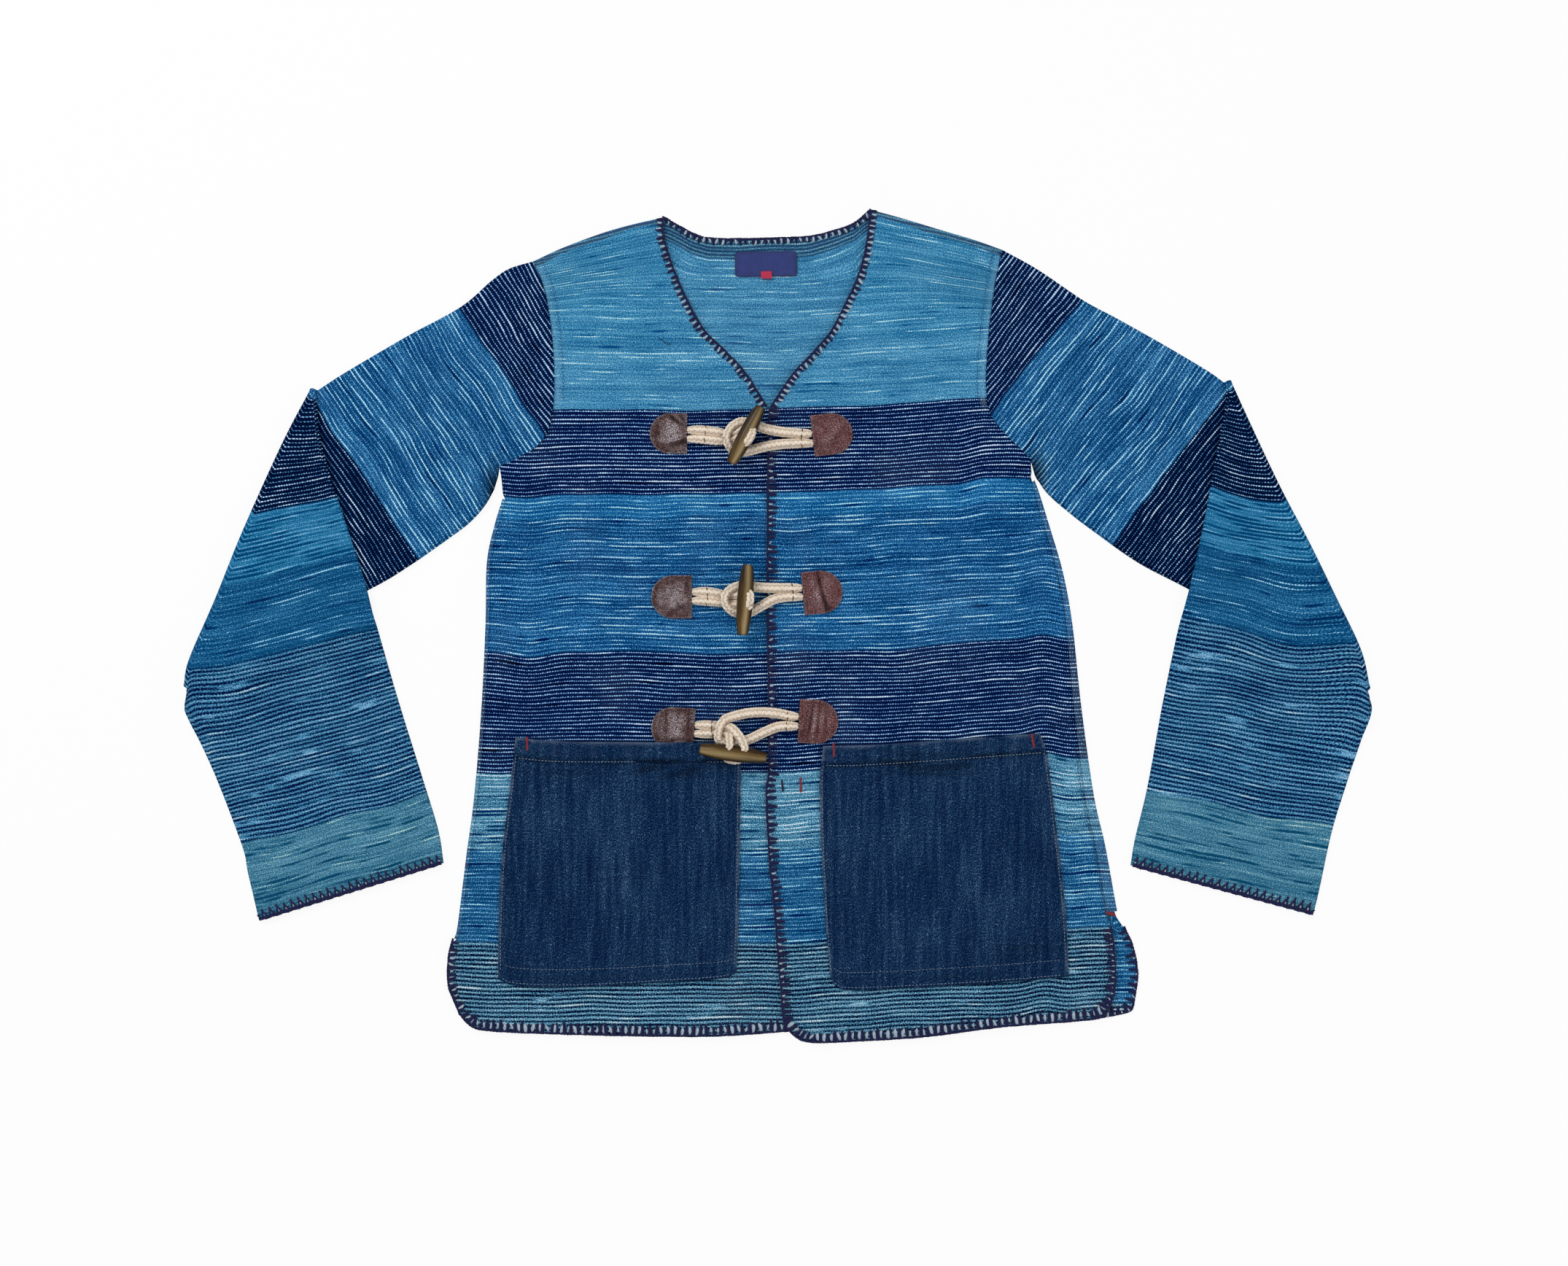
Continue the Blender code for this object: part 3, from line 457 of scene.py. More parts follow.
@dataclass(frozen=True)
class Value:
    """A socket of a material's nodes that takes Python's operators, each as one Math node."""

    nodes: Nodes
    socket: bpy.types.NodeSocket

    def _math(self, operation: str, *others: Any) -> Value:
        """The Math node of that operation on this value and others, in order."""
        inputs = dict(enumerate((self, *others)))
        return self.nodes.value("ShaderNodeMath", {"operation": operation}, inputs)

    def _after(self, operation: str, other: float) -> Value:
        """The Math node of that operation on another value and this one."""
        return self.nodes.value("ShaderNodeMath", {"operation": operation}, {0: other, 1: self})

    # self + other and other + self, and so on. `floor` is the whole number below, `fraction` what is left
    # above it, and `sine` the sine of radians.
    __add__ = partialmethod(_math, "ADD")
    __radd__ = partialmethod(_after, "ADD")
    __sub__ = partialmethod(_math, "SUBTRACT")
    __rsub__ = partialmethod(_after, "SUBTRACT")
    __mul__ = partialmethod(_math, "MULTIPLY")
    __rmul__ = partialmethod(_after, "MULTIPLY")
    __truediv__ = partialmethod(_math, "DIVIDE")
    __neg__ = partialmethod(_math, "MULTIPLY", -1.0)
    floor = partialmethod(_math, "FLOOR")
    fraction = partialmethod(_math, "FRACT")
    sine = partialmethod(_math, "SINE")

    def bell(self, middle: float, width: float) -> Value:
        """A bell curve: e to the minus square of the distance from the middle over the width."""
        offset = (self - middle) / width
        return (-(offset * offset))._math("EXPONENT")

    def between(self, start: Value | float, end: Value | float) -> Value:
        """0 at start and 1 at end, with a soft step between.

        Args:
            start: Where it is 0.
            end: Where it is 1.

        Returns:
            The stepped value.
        """
        settings = {"interpolation_type": "SMOOTHSTEP", "clamp": True}
        inputs = {"Value": self, "From Min": start, "From Max": end}
        return self.nodes.value("ShaderNodeMapRange", settings, inputs)

    def held(self) -> Value:
        """The value, held to 0 and 1."""
        return self.nodes.value("ShaderNodeClamp", {}, {"Value": self})


class Nodes:
    """A material and its nodes: a shader with its output, and what feeds them."""

    def __init__(self, name: str, **constants: Any) -> None:
        """Makes the material.

        Args:
            name: The material's name.
            constants: Values of the shader's own sockets, with _ for a space in their names.
        """
        self.material = bpy.data.materials.new(name)
        self.material.use_nodes = True
        self.tree = self.material.node_tree
        self.tree.nodes.clear()
        named = {key.replace("_", " "): value for key, value in constants.items()}
        self.shader = self.node("ShaderNodeBsdfPrincipled", {}, named)
        self.output = self.node("ShaderNodeOutputMaterial", {}, {"Surface": self.shader.outputs[0]})

    def node(
        self, kind: str, settings: Settings | None = None, inputs: Inputs | None = None
    ) -> bpy.types.Node:
        """Adds a node.

        Args:
            kind: The node's type.
            settings: Its settings, set first.
            inputs: A value, or a link, for each of its sockets by name or number.

        Returns:
            The node.
        """
        made = self.tree.nodes.new(kind)
        for key, setting in (settings or {}).items():
            setattr(made, key, setting)
        for key, given in (inputs or {}).items():
            if isinstance(given, Value):
                given = given.socket
            if isinstance(given, bpy.types.NodeSocket):
                self.tree.links.new(given, made.inputs[key])
            else:
                made.inputs[key].default_value = given
        return made

    def value(self, kind: str, settings: Settings, inputs: Inputs, output: str | int = 0) -> Value:
        """Adds a node and gives one of its outputs."""
        return Value(self, self.node(kind, settings, inputs).outputs[output])

    def place(self) -> tuple[Value, Value]:
        """The place on the cloth: metres along the rows and across them.

        Returns:
            The two values.
        """
        where = self.value("ShaderNodeUVMap", {"uv_map": "cloth"}, {})
        apart = self.node("ShaderNodeSeparateXYZ", {}, {0: where})
        return Value(self, apart.outputs[0]), Value(self, apart.outputs[1])

    def wear_and_shade(self) -> Value:
        """The fading and painted light and shade that a mesh carries: above 0 paler, below 0 darker."""
        return self.value("ShaderNodeAttribute", {"attribute_name": "wear_and_shade"}, {}, "Fac")

    def vector(self, x: Any = 0.0, y: Any = 0.0, z: Any = 0.0) -> Value:
        """A vector of three values."""
        return self.value("ShaderNodeCombineXYZ", {}, {0: x, 1: y, 2: z})

    def noise(self, *place: Any, scale: float = 1.0, detail: float = 2.0, rough: float = 0.5) -> Value:
        """Soft noise about 0.5, at so many cells for each unit of the place."""
        inputs = {"Vector": self.vector(*place), "Scale": scale, "Detail": detail, "Roughness": rough}
        return self.value("ShaderNodeTexNoise", {"noise_dimensions": "3D"}, inputs)

    def chance(self, value: Value) -> Value:
        """A random number from 0 to 1 for each value."""
        return self.value("ShaderNodeTexWhiteNoise", {"noise_dimensions": "1D"}, {"W": value})

    def mix(self, share: Any, first: Any, second: Any, way: str = "MIX") -> Value:
        """Two colours mixed, by the share of the second. Each is a value, or six hex digits.

        Args:
            share: The second colour's share.
            first: The first colour.
            second: The second one.
            way: How they blend.

        Returns:
            The mixed colour.
        """
        settings = {"data_type": "RGBA", "blend_type": way, "clamp_factor": True}
        first, second = (colour(shade) if isinstance(shade, str) else shade for shade in (first, second))
        return self.value("ShaderNodeMix", settings, {0: share, 6: first, 7: second}, 2)

    def climb(self, level: Value, deep: Any, ground: Any, lift: Any, pale: Any) -> Value:
        """Four colours, whole at the levels -1, 0, 1 and 2 and mixed between them."""
        shade = self.mix(level + 1.0, deep, ground)
        return self.mix(level - 1.0, self.mix(level, shade, lift), pale)

    def darken_below_zero(self, shade: Any, shade_and_wear: Value, dark: Any, most: float) -> Value:
        """A colour darkened where the mesh's channel is below 0, by at most that share; mostly painted shade.
        """
        return self.mix((-shade_and_wear).held() * most, shade, dark)

    def ramp(self, value: Value, stops: Sequence[tuple[float, Any]], steps: str = "LINEAR") -> Value:
        """A colour for each value, from stops of place and colour, and how it goes from one to the next.

        Args:
            value: What picks the colour.
            stops: Places and their colours, in order.
            steps: How it goes from one stop to the next.

        Returns:
            The colour.
        """
        made = self.node("ShaderNodeValToRGB", {}, {0: value})
        made.color_ramp.interpolation = steps
        elements = made.color_ramp.elements
        for place, _ in stops[1:-1]:
            elements.new(place)
        for element, (place, shade) in zip(elements, stops):
            element.position, element.color = place, shade
        return Value(self, made.outputs[0])

    def finish(self, base: Any, height: Value | None = None, depth: float = 0.0, rough: Any = None) -> Finish:
        """Feeds the shader.

        Args:
            base: The base colour.
            height: What the bump follows, or None.
            depth: The bump's depth in metres.
            rough: The roughness, where it changes over the surface.

        Returns:
            The material.
        """
        links = {"Base Color": base} | ({} if rough is None else {"Roughness": rough})
        if height is not None:
            links["Normal"] = self.value("ShaderNodeBump", {}, {"Height": height, "Distance": depth})
        for name, value in links.items():
            self.tree.links.new(value.socket, self.shader.inputs[name])
        return self.material


# ---------------- finishes


@cache
def dyed(finish: Any) -> Finish:
    """A finish's material, built once for all the pieces that share it."""
    return finish.material()


@dataclass(frozen=True)
class Band:
    """One band of the striped cloth, from where it starts across the rows.

    `beads` is how strongly the row's beads show. `pale` and `dark` are the shares of the rows' length that a
    pale or a dark streak takes.
    """

    start: float
    deep: str
    ground: str
    bead: str
    slub: str
    beads: float
    pale: float
    dark: float = 0.0


@dataclass(frozen=True)
class IndigoCloth:
    """Indigo cotton in bands, with a fine beaded row every few millimetres and streaks along the rows."""

    name: str
    bands: tuple[Band, ...]
    pitch: float = 3.05
    bead: float = 1.85
    span: float = 0.8
    grain: float = 8.6

    def material(self) -> Finish:
        """Builds the material.

        A row's number is the whole part of the place across the rows over the pitch, and its profile is a
        bell curve of what is left. Beads are bell curves along the row, one to each bead's length, and each
        bead has its own strength. Streaks are noise drawn out along the row, over a threshold that gives the
        band's share: pale ones lie on the rows and dark ones in the hollows between them. Every colour is
        looked up at the row's own middle, so a band starts with a whole row.

        Returns:
            The material.
        """
        nodes = Nodes(self.name, Roughness=0.95, Specular_IOR_Level=0.02)
        along, across = nodes.place()
        rows = across / (self.pitch * MM)
        number, part = rows.floor(), rows.fraction()
        level = (number + 0.5) * (self.pitch * MM / self.span) + 0.5
        own, other = nodes.chance(number), nodes.chance(number + 0.37)
        places = [max(0.0, band.start * MM / self.span + 0.5) for band in self.bands]

        def shades(part_name: str) -> Value:
            """One of the bands' colours, from each band's start on."""
            stops = [(p, colour(getattr(band, part_name))) for p, band in zip(places, self.bands)]
            return nodes.ramp(level, stops, "CONSTANT")

        ground, bead, slub, deep = (shades(name) for name in ("ground", "bead", "slub", "deep"))
        shares = [(p, (band.beads, band.pale, band.dark, 1.0)) for p, band in zip(places, self.bands)]
        apart = nodes.node("ShaderNodeSeparateColor", {}, {0: nodes.ramp(level, shares, "CONSTANT")})
        beads, pale, dark = (Value(nodes, out) for out in apart.outputs)

        wobble = nodes.noise(along * 90.0, number * 1.7, detail=1.0)
        phase = along / (self.bead * MM) + own * 7.0 + wobble * 1.6
        spot = nodes.chance(phase.floor() + number * 97.3)
        wave = phase.fraction().bell(0.5, 0.3)
        profile = (part + spot * 0.1).bell(0.55, 0.17)
        streak = nodes.noise(along * 21.0, number * 1.3, own * 1.1, detail=2.5, rough=0.6)
        glow = nodes.noise(along * 34.0, number * 3.7, own * 3.0, detail=3.0, rough=0.65)
        fuzz = nodes.noise(along * 1.0, across * 1.3, scale=950.0, rough=0.75)
        cloud = nodes.noise(along * 1.0, across * 1.6, scale=24.0, detail=4.0, rough=0.6)
        below = (rows + 0.5).floor()
        sunk = nodes.noise(along * 26.0, below * 5.17, own * 0.5, rough=0.55)
        hollow = (rows + 0.5).fraction().bell(0.5, 0.25)
        links = along / (self.bead * 1.2 * MM) + nodes.chance(below) * 7.0 + wobble
        links = links.fraction().bell(0.5, 0.33)

        bright = streak.between(0.62 - pale * 0.4, 0.78 - pale * 0.4)
        low = sunk.between(0.66 - dark * 0.4, 0.76 - dark * 0.4)
        drawn = profile * (wave * 0.8 + 0.24) * (spot * 0.45 + 0.55)
        thin = part.bell(0.5, 0.15) * (wave * 0.7 + 0.3) * (spot * 0.4 + 0.6)
        level = (cloud - 0.5) * 1.5 + (fuzz - 0.5) * self.grain + (other - 0.5) * 0.6
        level = (level + (0.5 - sunk) * 2.4 * (hollow * 0.8 + 0.2)) * (1.1 - beads) - beads * beads * 0.5
        rows_shown = drawn * beads * (glow.between(0.1, 0.78) * 0.65 + 0.35) * (own * 0.5 + 0.75) * 3.2
        level = level + rows_shown + thin * bright * 3.4
        level = level - hollow * low * (links * 0.5 + 0.5) * 1.9
        shade_and_wear = nodes.wear_and_shade()
        # Paler above 0: faded fold edges, a band by the armhole, painted light at the back neck. Darker below
        # 0: painted shade on fold slopes, at seams and in the armpit.
        shade = nodes.mix(shade_and_wear.held() * 0.6, nodes.climb(level, deep, ground, bead, slub), "A9C6D6")
        shade = nodes.darken_below_zero(shade, shade_and_wear, "04081C", 0.85)
        height = profile * (wave * 0.5 + 0.5) * 0.7 - hollow * 0.2 + fuzz * 0.3
        return nodes.finish(shade, height, 0.0009)


@dataclass(frozen=True)
class Denim:
    """Dark denim: a steep twill, pale flecks, and streaks up and down where the yarn is uneven."""

    name: str = "dark_denim"
    ground: str = "03264C"
    deep: str = "000A30"
    lift: str = "284A6E"
    pale: str = "688AA8"
    twill: float = 1.15

    def material(self) -> Finish:
        """Builds the material: the twill is a sine across a slant, cut into short flecks by fine noise.

        Returns:
            The material.
        """
        nodes = Nodes(self.name, Roughness=0.95, Specular_IOR_Level=0.05)
        x, y = nodes.place()
        turns = 2 * math.pi / (self.twill * MM)
        twill = ((x * 0.87 + y * 0.5) * turns).sine() * 0.5 + 0.5
        fleck = nodes.noise(x * 1.25 + y * 0.4, y * 0.7, scale=1150.0, rough=0.8)
        streaks = nodes.noise(x * 230.0, y * 18.0, detail=3.0, rough=0.65)
        dashes = nodes.noise(x * 620.0 + y * 360.0, y * 260.0 - x * 60.0, 4.0, rough=0.7)
        broad = nodes.noise(x * 1.0, y * 0.7, scale=22.0, detail=3.0, rough=0.55)
        level = (fleck - 0.5) * 9.0 + (streaks - 0.5) * 2.2 + (broad - 0.5) * 1.3 + (twill - 0.5) * 0.5
        level = level + dashes.between(0.56, 0.74) * (streaks.between(0.35, 0.6) * 1.1 + 0.5)
        shade = nodes.climb(level, self.deep, self.ground, self.lift, self.pale)
        shade_and_wear = nodes.wear_and_shade()
        # Paler above 0: the faded rim, and painted light on the puckers. Darker below 0: painted shade in the
        # seam groove, on slopes and in the puckers' hollows.
        shade = nodes.mix(shade_and_wear.held() * (fleck * 0.9 + 0.2), shade, "8C9EBA")
        shade = nodes.darken_below_zero(shade, shade_and_wear, "010818", 0.85)
        return nodes.finish(shade, twill * 0.4 + fleck * 0.8, 0.0007)


@dataclass(frozen=True)
class Leather:
    """Grained leather: shiny rounded pebbles, painted glints and crease shade, a painted sheen up high."""

    name: str
    ground: str
    mottle_and_sheen: str
    grain: float
    cloudy: float = 0.35
    # How strong the painted glints are.
    glint_share: float = 0.5
    # How dark the painted shade between the pebbles is.
    deep: float = 0.8

    def material(self) -> Finish:
        """Builds the material: pebbles are the distance to the edges of random cells, bent by noise.

        Returns:
            The material.
        """
        nodes = Nodes(self.name, Specular_IOR_Level=0.25)
        x, y = nodes.place()
        bent = nodes.noise(x, y, scale=300.0)
        where = nodes.vector(x + bent * 0.0014, y + bent * 0.0012)
        cells = {"Vector": where, "Scale": self.grain}
        edges = nodes.value("ShaderNodeTexVoronoi", {"feature": "DISTANCE_TO_EDGE"}, cells)
        pebble = edges.between(0.0, 0.15)
        shine = nodes.noise(x + 0.3, y, scale=620.0, rough=0.7)
        broad = nodes.noise(x, y, scale=90.0, detail=3.0)
        shade_and_wear = nodes.wear_and_shade()
        # `lift` is random mottling plus the mesh's channel: painted sheen up high and on crease ridges, and
        # the pale raw edge.
        lift = broad.between(0.38, 0.68) * self.cloudy + shade_and_wear.held()
        shade = nodes.mix(lift, self.ground, self.mottle_and_sheen)
        # Painted shade in the creases between the pebbles.
        shade = nodes.mix((1 - pebble) * self.deep, shade, "2C1517")
        # Painted glints on the pebbles; below 0, painted shade in creases, the stitch groove and underneath.
        glint = pebble * shine.between(0.34, 0.66) * (lift * 0.9 + 0.12) * self.glint_share
        shade = nodes.darken_below_zero(nodes.mix(glint, shade, "E6DEE4"), shade_and_wear, "1A0A0C", 0.9)
        return nodes.finish(shade, pebble, 0.0011, 0.34 + broad * 0.2)


@dataclass(frozen=True)
class Yarn:
    """Twisted or spun thread: fine fibres along it and a shade that wanders."""

    name: str
    dark: str
    pale: str
    fibres: float = 900.0
    rough: float = 0.85
    depth: float = 0.0004

    def material(self) -> Finish:
        """Builds the material: fibres are noise drawn out along the thread and slanted round it.

        Returns:
            The material.
        """
        nodes = Nodes(self.name, Roughness=self.rough, Sheen_Weight=0.15, Specular_IOR_Level=0.2)
        along, around = nodes.place()
        fibre = nodes.noise(along * self.fibres * 0.35, around * 9.0 + along * 420.0, detail=3.0, rough=0.65)
        wander = nodes.noise(along * 120.0, around)
        shade_and_wear = nodes.wear_and_shade()
        shade = nodes.mix(fibre.between(0.3, 0.72) * 0.65 + wander * 0.35, self.dark, self.pale)
        # Here only the rope's strands carry values: painted shade where a strand dips under, a faint painted
        # highlight where it passes over.
        shade = nodes.darken_below_zero(shade, shade_and_wear, nodes.mix(1.0, self.dark, (0.3, 0.25, 0.2, 1), "MULTIPLY"), 0.8)
        shade = nodes.mix(shade_and_wear.held(), shade, "F1E8D4")
        return nodes.finish(shade, fibre, self.depth)


@dataclass(frozen=True)
class Horn:
    """Polished turned horn: brown with olive streaks along it, duller ends, painted highlight and side shade.
    """

    name: str = "turned_horn"

    def material(self) -> Finish:
        """Builds the material: streaks are noise drawn out along the toggle.

        Returns:
            The material.
        """
        nodes = Nodes(self.name, Coat_Roughness=0.12, Specular_IOR_Level=0.12)
        along, around = nodes.place()
        streak = nodes.noise(along * 18.0, around * 7.0, detail=4.0, rough=0.6)
        fine = nodes.noise(along * 60.0, around * 40.0, detail=3.0, rough=0.6)
        stops = (0.3, "180E04"), (0.46, "3C2A0E"), (0.58, "5E4622"), (0.78, "968058")
        shade = nodes.ramp(streak * 0.8 + fine * 0.2, [(place, colour(code)) for place, code in stops])
        # A painted highlight along the top, and painted shade down the sides.
        upper = around.bell(0.3, 0.06)
        shade = nodes.mix(upper * (streak.between(0.3, 0.6) * 0.45 + 0.3), shade, "AA9468")
        shade = nodes.mix((1 - around.bell(0.26, 0.15)) * 0.75, shade, "120B05")
        shade_and_wear = nodes.wear_and_shade()
        shade = nodes.mix((-shade_and_wear).held(), nodes.mix(shade_and_wear.held() * 0.8, shade, "3C2E1A"), "140E08")
        rough = 0.22 + fine * 0.1 + shade_and_wear.held() * 0.3
        coat = (1 - shade_and_wear.held()) * 0.16
        nodes.tree.links.new(coat.socket, nodes.shader.inputs["Coat Weight"])
        return nodes.finish(shade, fine, 0.0001, rough)


@dataclass(frozen=True)
class Tape:
    """Woven tape: fine ribs both ways, with a closer edge."""

    name: str
    ground: str
    edge: str
    rib: float = 0.7

    def material(self) -> Finish:
        """Builds the material: the weave is one sine along times one across.

        Returns:
            The material.
        """
        nodes = Nodes(self.name, Roughness=0.7, Sheen_Weight=0.1, Specular_IOR_Level=0.3)
        x, y = nodes.place()
        turns = 2 * math.pi / (self.rib * MM)
        weave = ((x * turns).sine() * (y * turns * 0.8).sine()) * 0.5 + 0.5
        broad = nodes.noise(x, y, scale=160.0, detail=3.0)
        shade_and_wear = nodes.wear_and_shade()
        shade = nodes.mix(weave * 0.35 + broad * 0.35, self.ground, self.edge)
        fuzz = nodes.noise(x * 0.5, y, scale=1900.0, rough=0.7)
        shade = nodes.mix(fuzz.between(0.5, 0.75) * 0.3, shade, self.edge)
        shade = nodes.darken_below_zero(shade, shade_and_wear, "05061C", 0.6)
        return nodes.finish(shade, weave, 0.0003)


# ---------------- outlines and where the rows run


@dataclass(frozen=True)
class Outline:
    """One side of the jacket in plan: points that smooth curves pass, from the neck or the armhole out."""

    side: Side
    shoulder: Points
    armhole: Points
    slit_front: Points
    slit_sleeve: Points
    seam: Points
    vent_front: Points
    vent_back: Points
    hem: Points
    neckline: Points
    front_edge: Points
    overarm: Points
    underarm: Points
    fold: Points
    inner: Points
    outer: Points
    lip: tuple[float, float]

    def border(self, slit: Points, vent: Points, step: float) -> Array:
        """A body panel's side border, armhole to hem.

        Args:
            slit: The slit's points under the armhole.
            vent: The vent's points.
            step: The distance between the border's points.

        Returns:
            A row for each point: its place, its outward normal (none but on the side seam), how far the back
            turns over there, and 1 on the side seam.
        """
        lines = [spaced(line, step) for line in (self.armhole, slit, self.seam, vent)]
        lines[3] = lines[3][1:]
        seam = len(lines[2])
        sewn = np.column_stack([outward(lines[2]), np.linspace(*self.lip, seam), np.ones(seam)])
        rest = np.zeros((sum(map(len, lines)), 4))
        start = len(lines[0]) + len(lines[1])
        rest[start : start + seam] = sewn
        return np.column_stack([np.vstack(lines), rest])


RIGHT = Outline(
    side=Side.RIGHT,
    shoulder=((-193.3, 287.6), (-167.6, 299.3), (-130.0, 312.8), (-90.0, 322.7)),
    armhole=((-193.3, 287.6), (-184, 265), (-178, 228), (-176, 190), (-179, 160), (-188, 143), (-204, 133),
             (-219.5, 127)),
    slit_front=((-217.5, 115), (-216.5, 103)),
    slit_sleeve=((-220.8, 118), (-224.5, 106)),
    seam=((-217.3, 100), (-223.5, 79.7), (-229.7, 49.8), (-230.8, 1), (-234.2, -68.4), (-240, -137.5),
          (-245.8, -181), (-252.8, -237), (-255.4, -247)),
    vent_front=((-256.0, -247), (-259.5, -262), (-259.3, -284), (-250.6, -307)),
    vent_back=((-255.6, -247), (-258.8, -262), (-258.5, -283), (-249.6, -305.5)),
    hem=((-250.6, -307), (-240.6, -316.6), (-226.2, -319.8), (-190, -321.6), (-120, -323.4), (-49.5, -323.8),
         (9, -320)),
    neckline=((-90, 322.7), (-90.6, 310.2), (-86, 292.9), (-79.4, 274.5), (-70.1, 254.6), (-58.2, 233.5),
              (-41, 216.3), (-25.2, 199.1), (-8.6, 172.6)),
    front_edge=((-8.6, 172.6), (4, 155), (6.5, 120), (6.5, 0), (6.5, -200), (9, -320)),
    overarm=((-193.3, 287.6), (-212, 282), (-226, 272.5), (-250, 252), (-290.5, 229.8), (-324, 210.4),
             (-346.3, 197), (-368, 187.4)),
    underarm=((-224.5, 106), (-231.5, 94), (-244.5, 80), (-265.5, 64.5), (-290, 47.5), (-321, 29),
              (-400, -10), (-464, -46)),
    fold=((-368, 187.4), (-391, 143.4), (-422.3, 74.1), (-443.5, 21.6), (-464.4, -26.9), (-468.4, -48)),
    inner=((-359.7, 145.6), (-346.3, 100), (-326.2, 38.4), (-316.2, -1.2), (-300.4, -56.5), (-282.6, -113.8),
           (-268.2, -161), (-263.8, -187.8)),
    outer=((-467.2, -64), (-463.4, -76.3), (-442.7, -122.7), (-422.9, -175), (-418.5, -196), (-409.6, -233)),
    lip=(1.0, 1.0),
)
LEFT = Outline(
    side=Side.LEFT,
    shoulder=((177.7, 296.8), (156.5, 304.4), (129.7, 312.4), (100, 321.4), (73.4, 328.7)),
    armhole=((177.7, 296.8), (172, 268.5), (167.2, 232.8), (164.7, 197), (166, 176), (171, 161.3), (184, 147),
             (200, 131)),
    slit_front=((200.2, 125), (200.5, 120)),
    slit_sleeve=((201.8, 125), (203.6, 118.5)),
    seam=((202.3, 117), (206.7, 105.4), (215.7, 76.4), (225.7, 42), (233.2, 0.8), (240, -62.5), (250, -133.6),
          (258.9, -173), (266.8, -216.6), (269.2, -229)),
    vent_front=((263.2, -238), (265.5, -255), (266.5, -283), (263, -299)),
    vent_back=((274, -238), (280.6, -253), (284.6, -275), (281.5, -300)),
    hem=((263, -299), (256, -308.5), (235.2, -312.1), (175, -316.5), (125, -323.4), (75, -327.2),
         (27.6, -328.5), (12.5, -322.5), (4.7, -312)),
    neckline=((73.4, 328.7), (72.1, 312.8), (68.8, 292.9), (62.8, 273.1), (53.5, 253.3), (42.3, 232.1),
              (27.8, 215), (11.9, 197.7), (-5, 172.6)),
    front_edge=((-5, 172.6), (-6.9, 154.7), (-7.8, 32.4), (-6.4, -105), (-8.6, -130), (-6.5, -180),
                (-1.4, -233.5), (4.7, -312)),
    overarm=((177.7, 296.8), (205.6, 281.4), (241.3, 257.3), (268, 242.8), (303.9, 222.7), (339.6, 201.5),
             (357.5, 193.7)),
    underarm=((203.6, 118.5), (214, 103.5), (232, 87.8), (251.5, 73), (285, 49.5), (324, 29), (398, -11),
              (464, -52)),
    fold=((357.5, 193.7), (375.4, 154.6), (397.7, 107.7), (420, 65.2), (441.3, 21.6), (460.5, -19),
          (467.8, -50)),
    inner=((353, 174.7), (346.3, 139), (336.3, 83), (326.2, 36), (317.2, -0.4), (304.4, -61.7), (292.5, -127),
           (282.6, -168.4), (279, -189.6)),
    outer=((468.4, -66), (461.5, -90), (451.6, -119.8), (438.7, -161.3), (428.8, -206.7), (423.5, -228.4)),
    lip=(1.5, 6.5),
)
BACK_NECK = ((-90, 322.7), (-67.5, 310.2), (-54.3, 306.2), (-27.8, 305.5), (-1.3, 306.2), (25.1, 307.5),
             (44.9, 312.1), (60.8, 318.1), (73.4, 328.7))
BACK_HEM = ((-249.6, -305.5), (-227, -317), (-120, -320), (8, -318), (120, -318), (200, -312), (250, -311.2),
            (277, -305.5), (281.5, -300))

# Soft folds of the fronts. The first eight are the solids' own.
FRONT_FOLDS = creases(
    (-186, 112, -14, 90, 34, 2.2), (176, 112, 14, 90, 34, 2.2), (-140, 232, 62, 130, 60, 1.6),
    (122, 238, 118, 130, 60, 1.6), (-150, -20, 80, 120, 60, 1.4), (150, -10, 96, 130, 60, 1.6),
    (-120, -302, 90, 60, 50, 1.4), (170, -300, 78, 60, 50, 2.4), (-212, 40, 92, 150, 16, 0.9),
    (-200, 84, -52, 46, 9, -0.8), (-196, 128, -24, 50, 9, -0.9), (-222, -55, 84, 70, 12, 0.7),
    (-100, 196, 8, 110, 30, 0.7), (-68, 118, 4, 90, 16, 0.6), (-120, 62, -3, 130, 20, 0.7),
    (-90, -48, 5, 100, 16, 0.6), (192, 102, 84, 46, 7, -1.1), (200, 112, 62, 60, 10, 0.9),
    (168, 150, -38, 40, 9, -0.8), (206, -34, 98, 70, 12, 1.2), (222, 22, 105, 80, 12, 0.8),
    (140, 266, 100, 90, 16, -0.7), (96, 212, -4, 120, 26, 0.7), (110, 70, 6, 130, 20, 0.7),
    (70, 6, 2, 110, 18, 0.6), (96, -58, 4, 120, 14, 0.6), (186, -300, 64, 50, 10, -0.9),
    (-190, -303, 78, 44, 14, 0.6),
)


def front_height(side: Side, plan: Array) -> Array:
    """Height of a front's middle surface: the lap of the left one, the soft folds and small ripples.

    Args:
        side: The front's side.
        plan: The plan points.

    Returns:
        The heights.
    """
    x, y = plan[..., 0], plan[..., 1]
    lap = 0.0
    if side is Side.LEFT:
        lap = LAP_RISE * (1 - smooth(LAP_FLAT, LAP_END, x)) * (1 - smooth(*LAP_TOP, y))
    return HIGH + lap + relief(FRONT_FOLDS, plan) + 0.22 * ripple(plan, 46, 3) + 0.1 * ripple(plan, 13, 4)


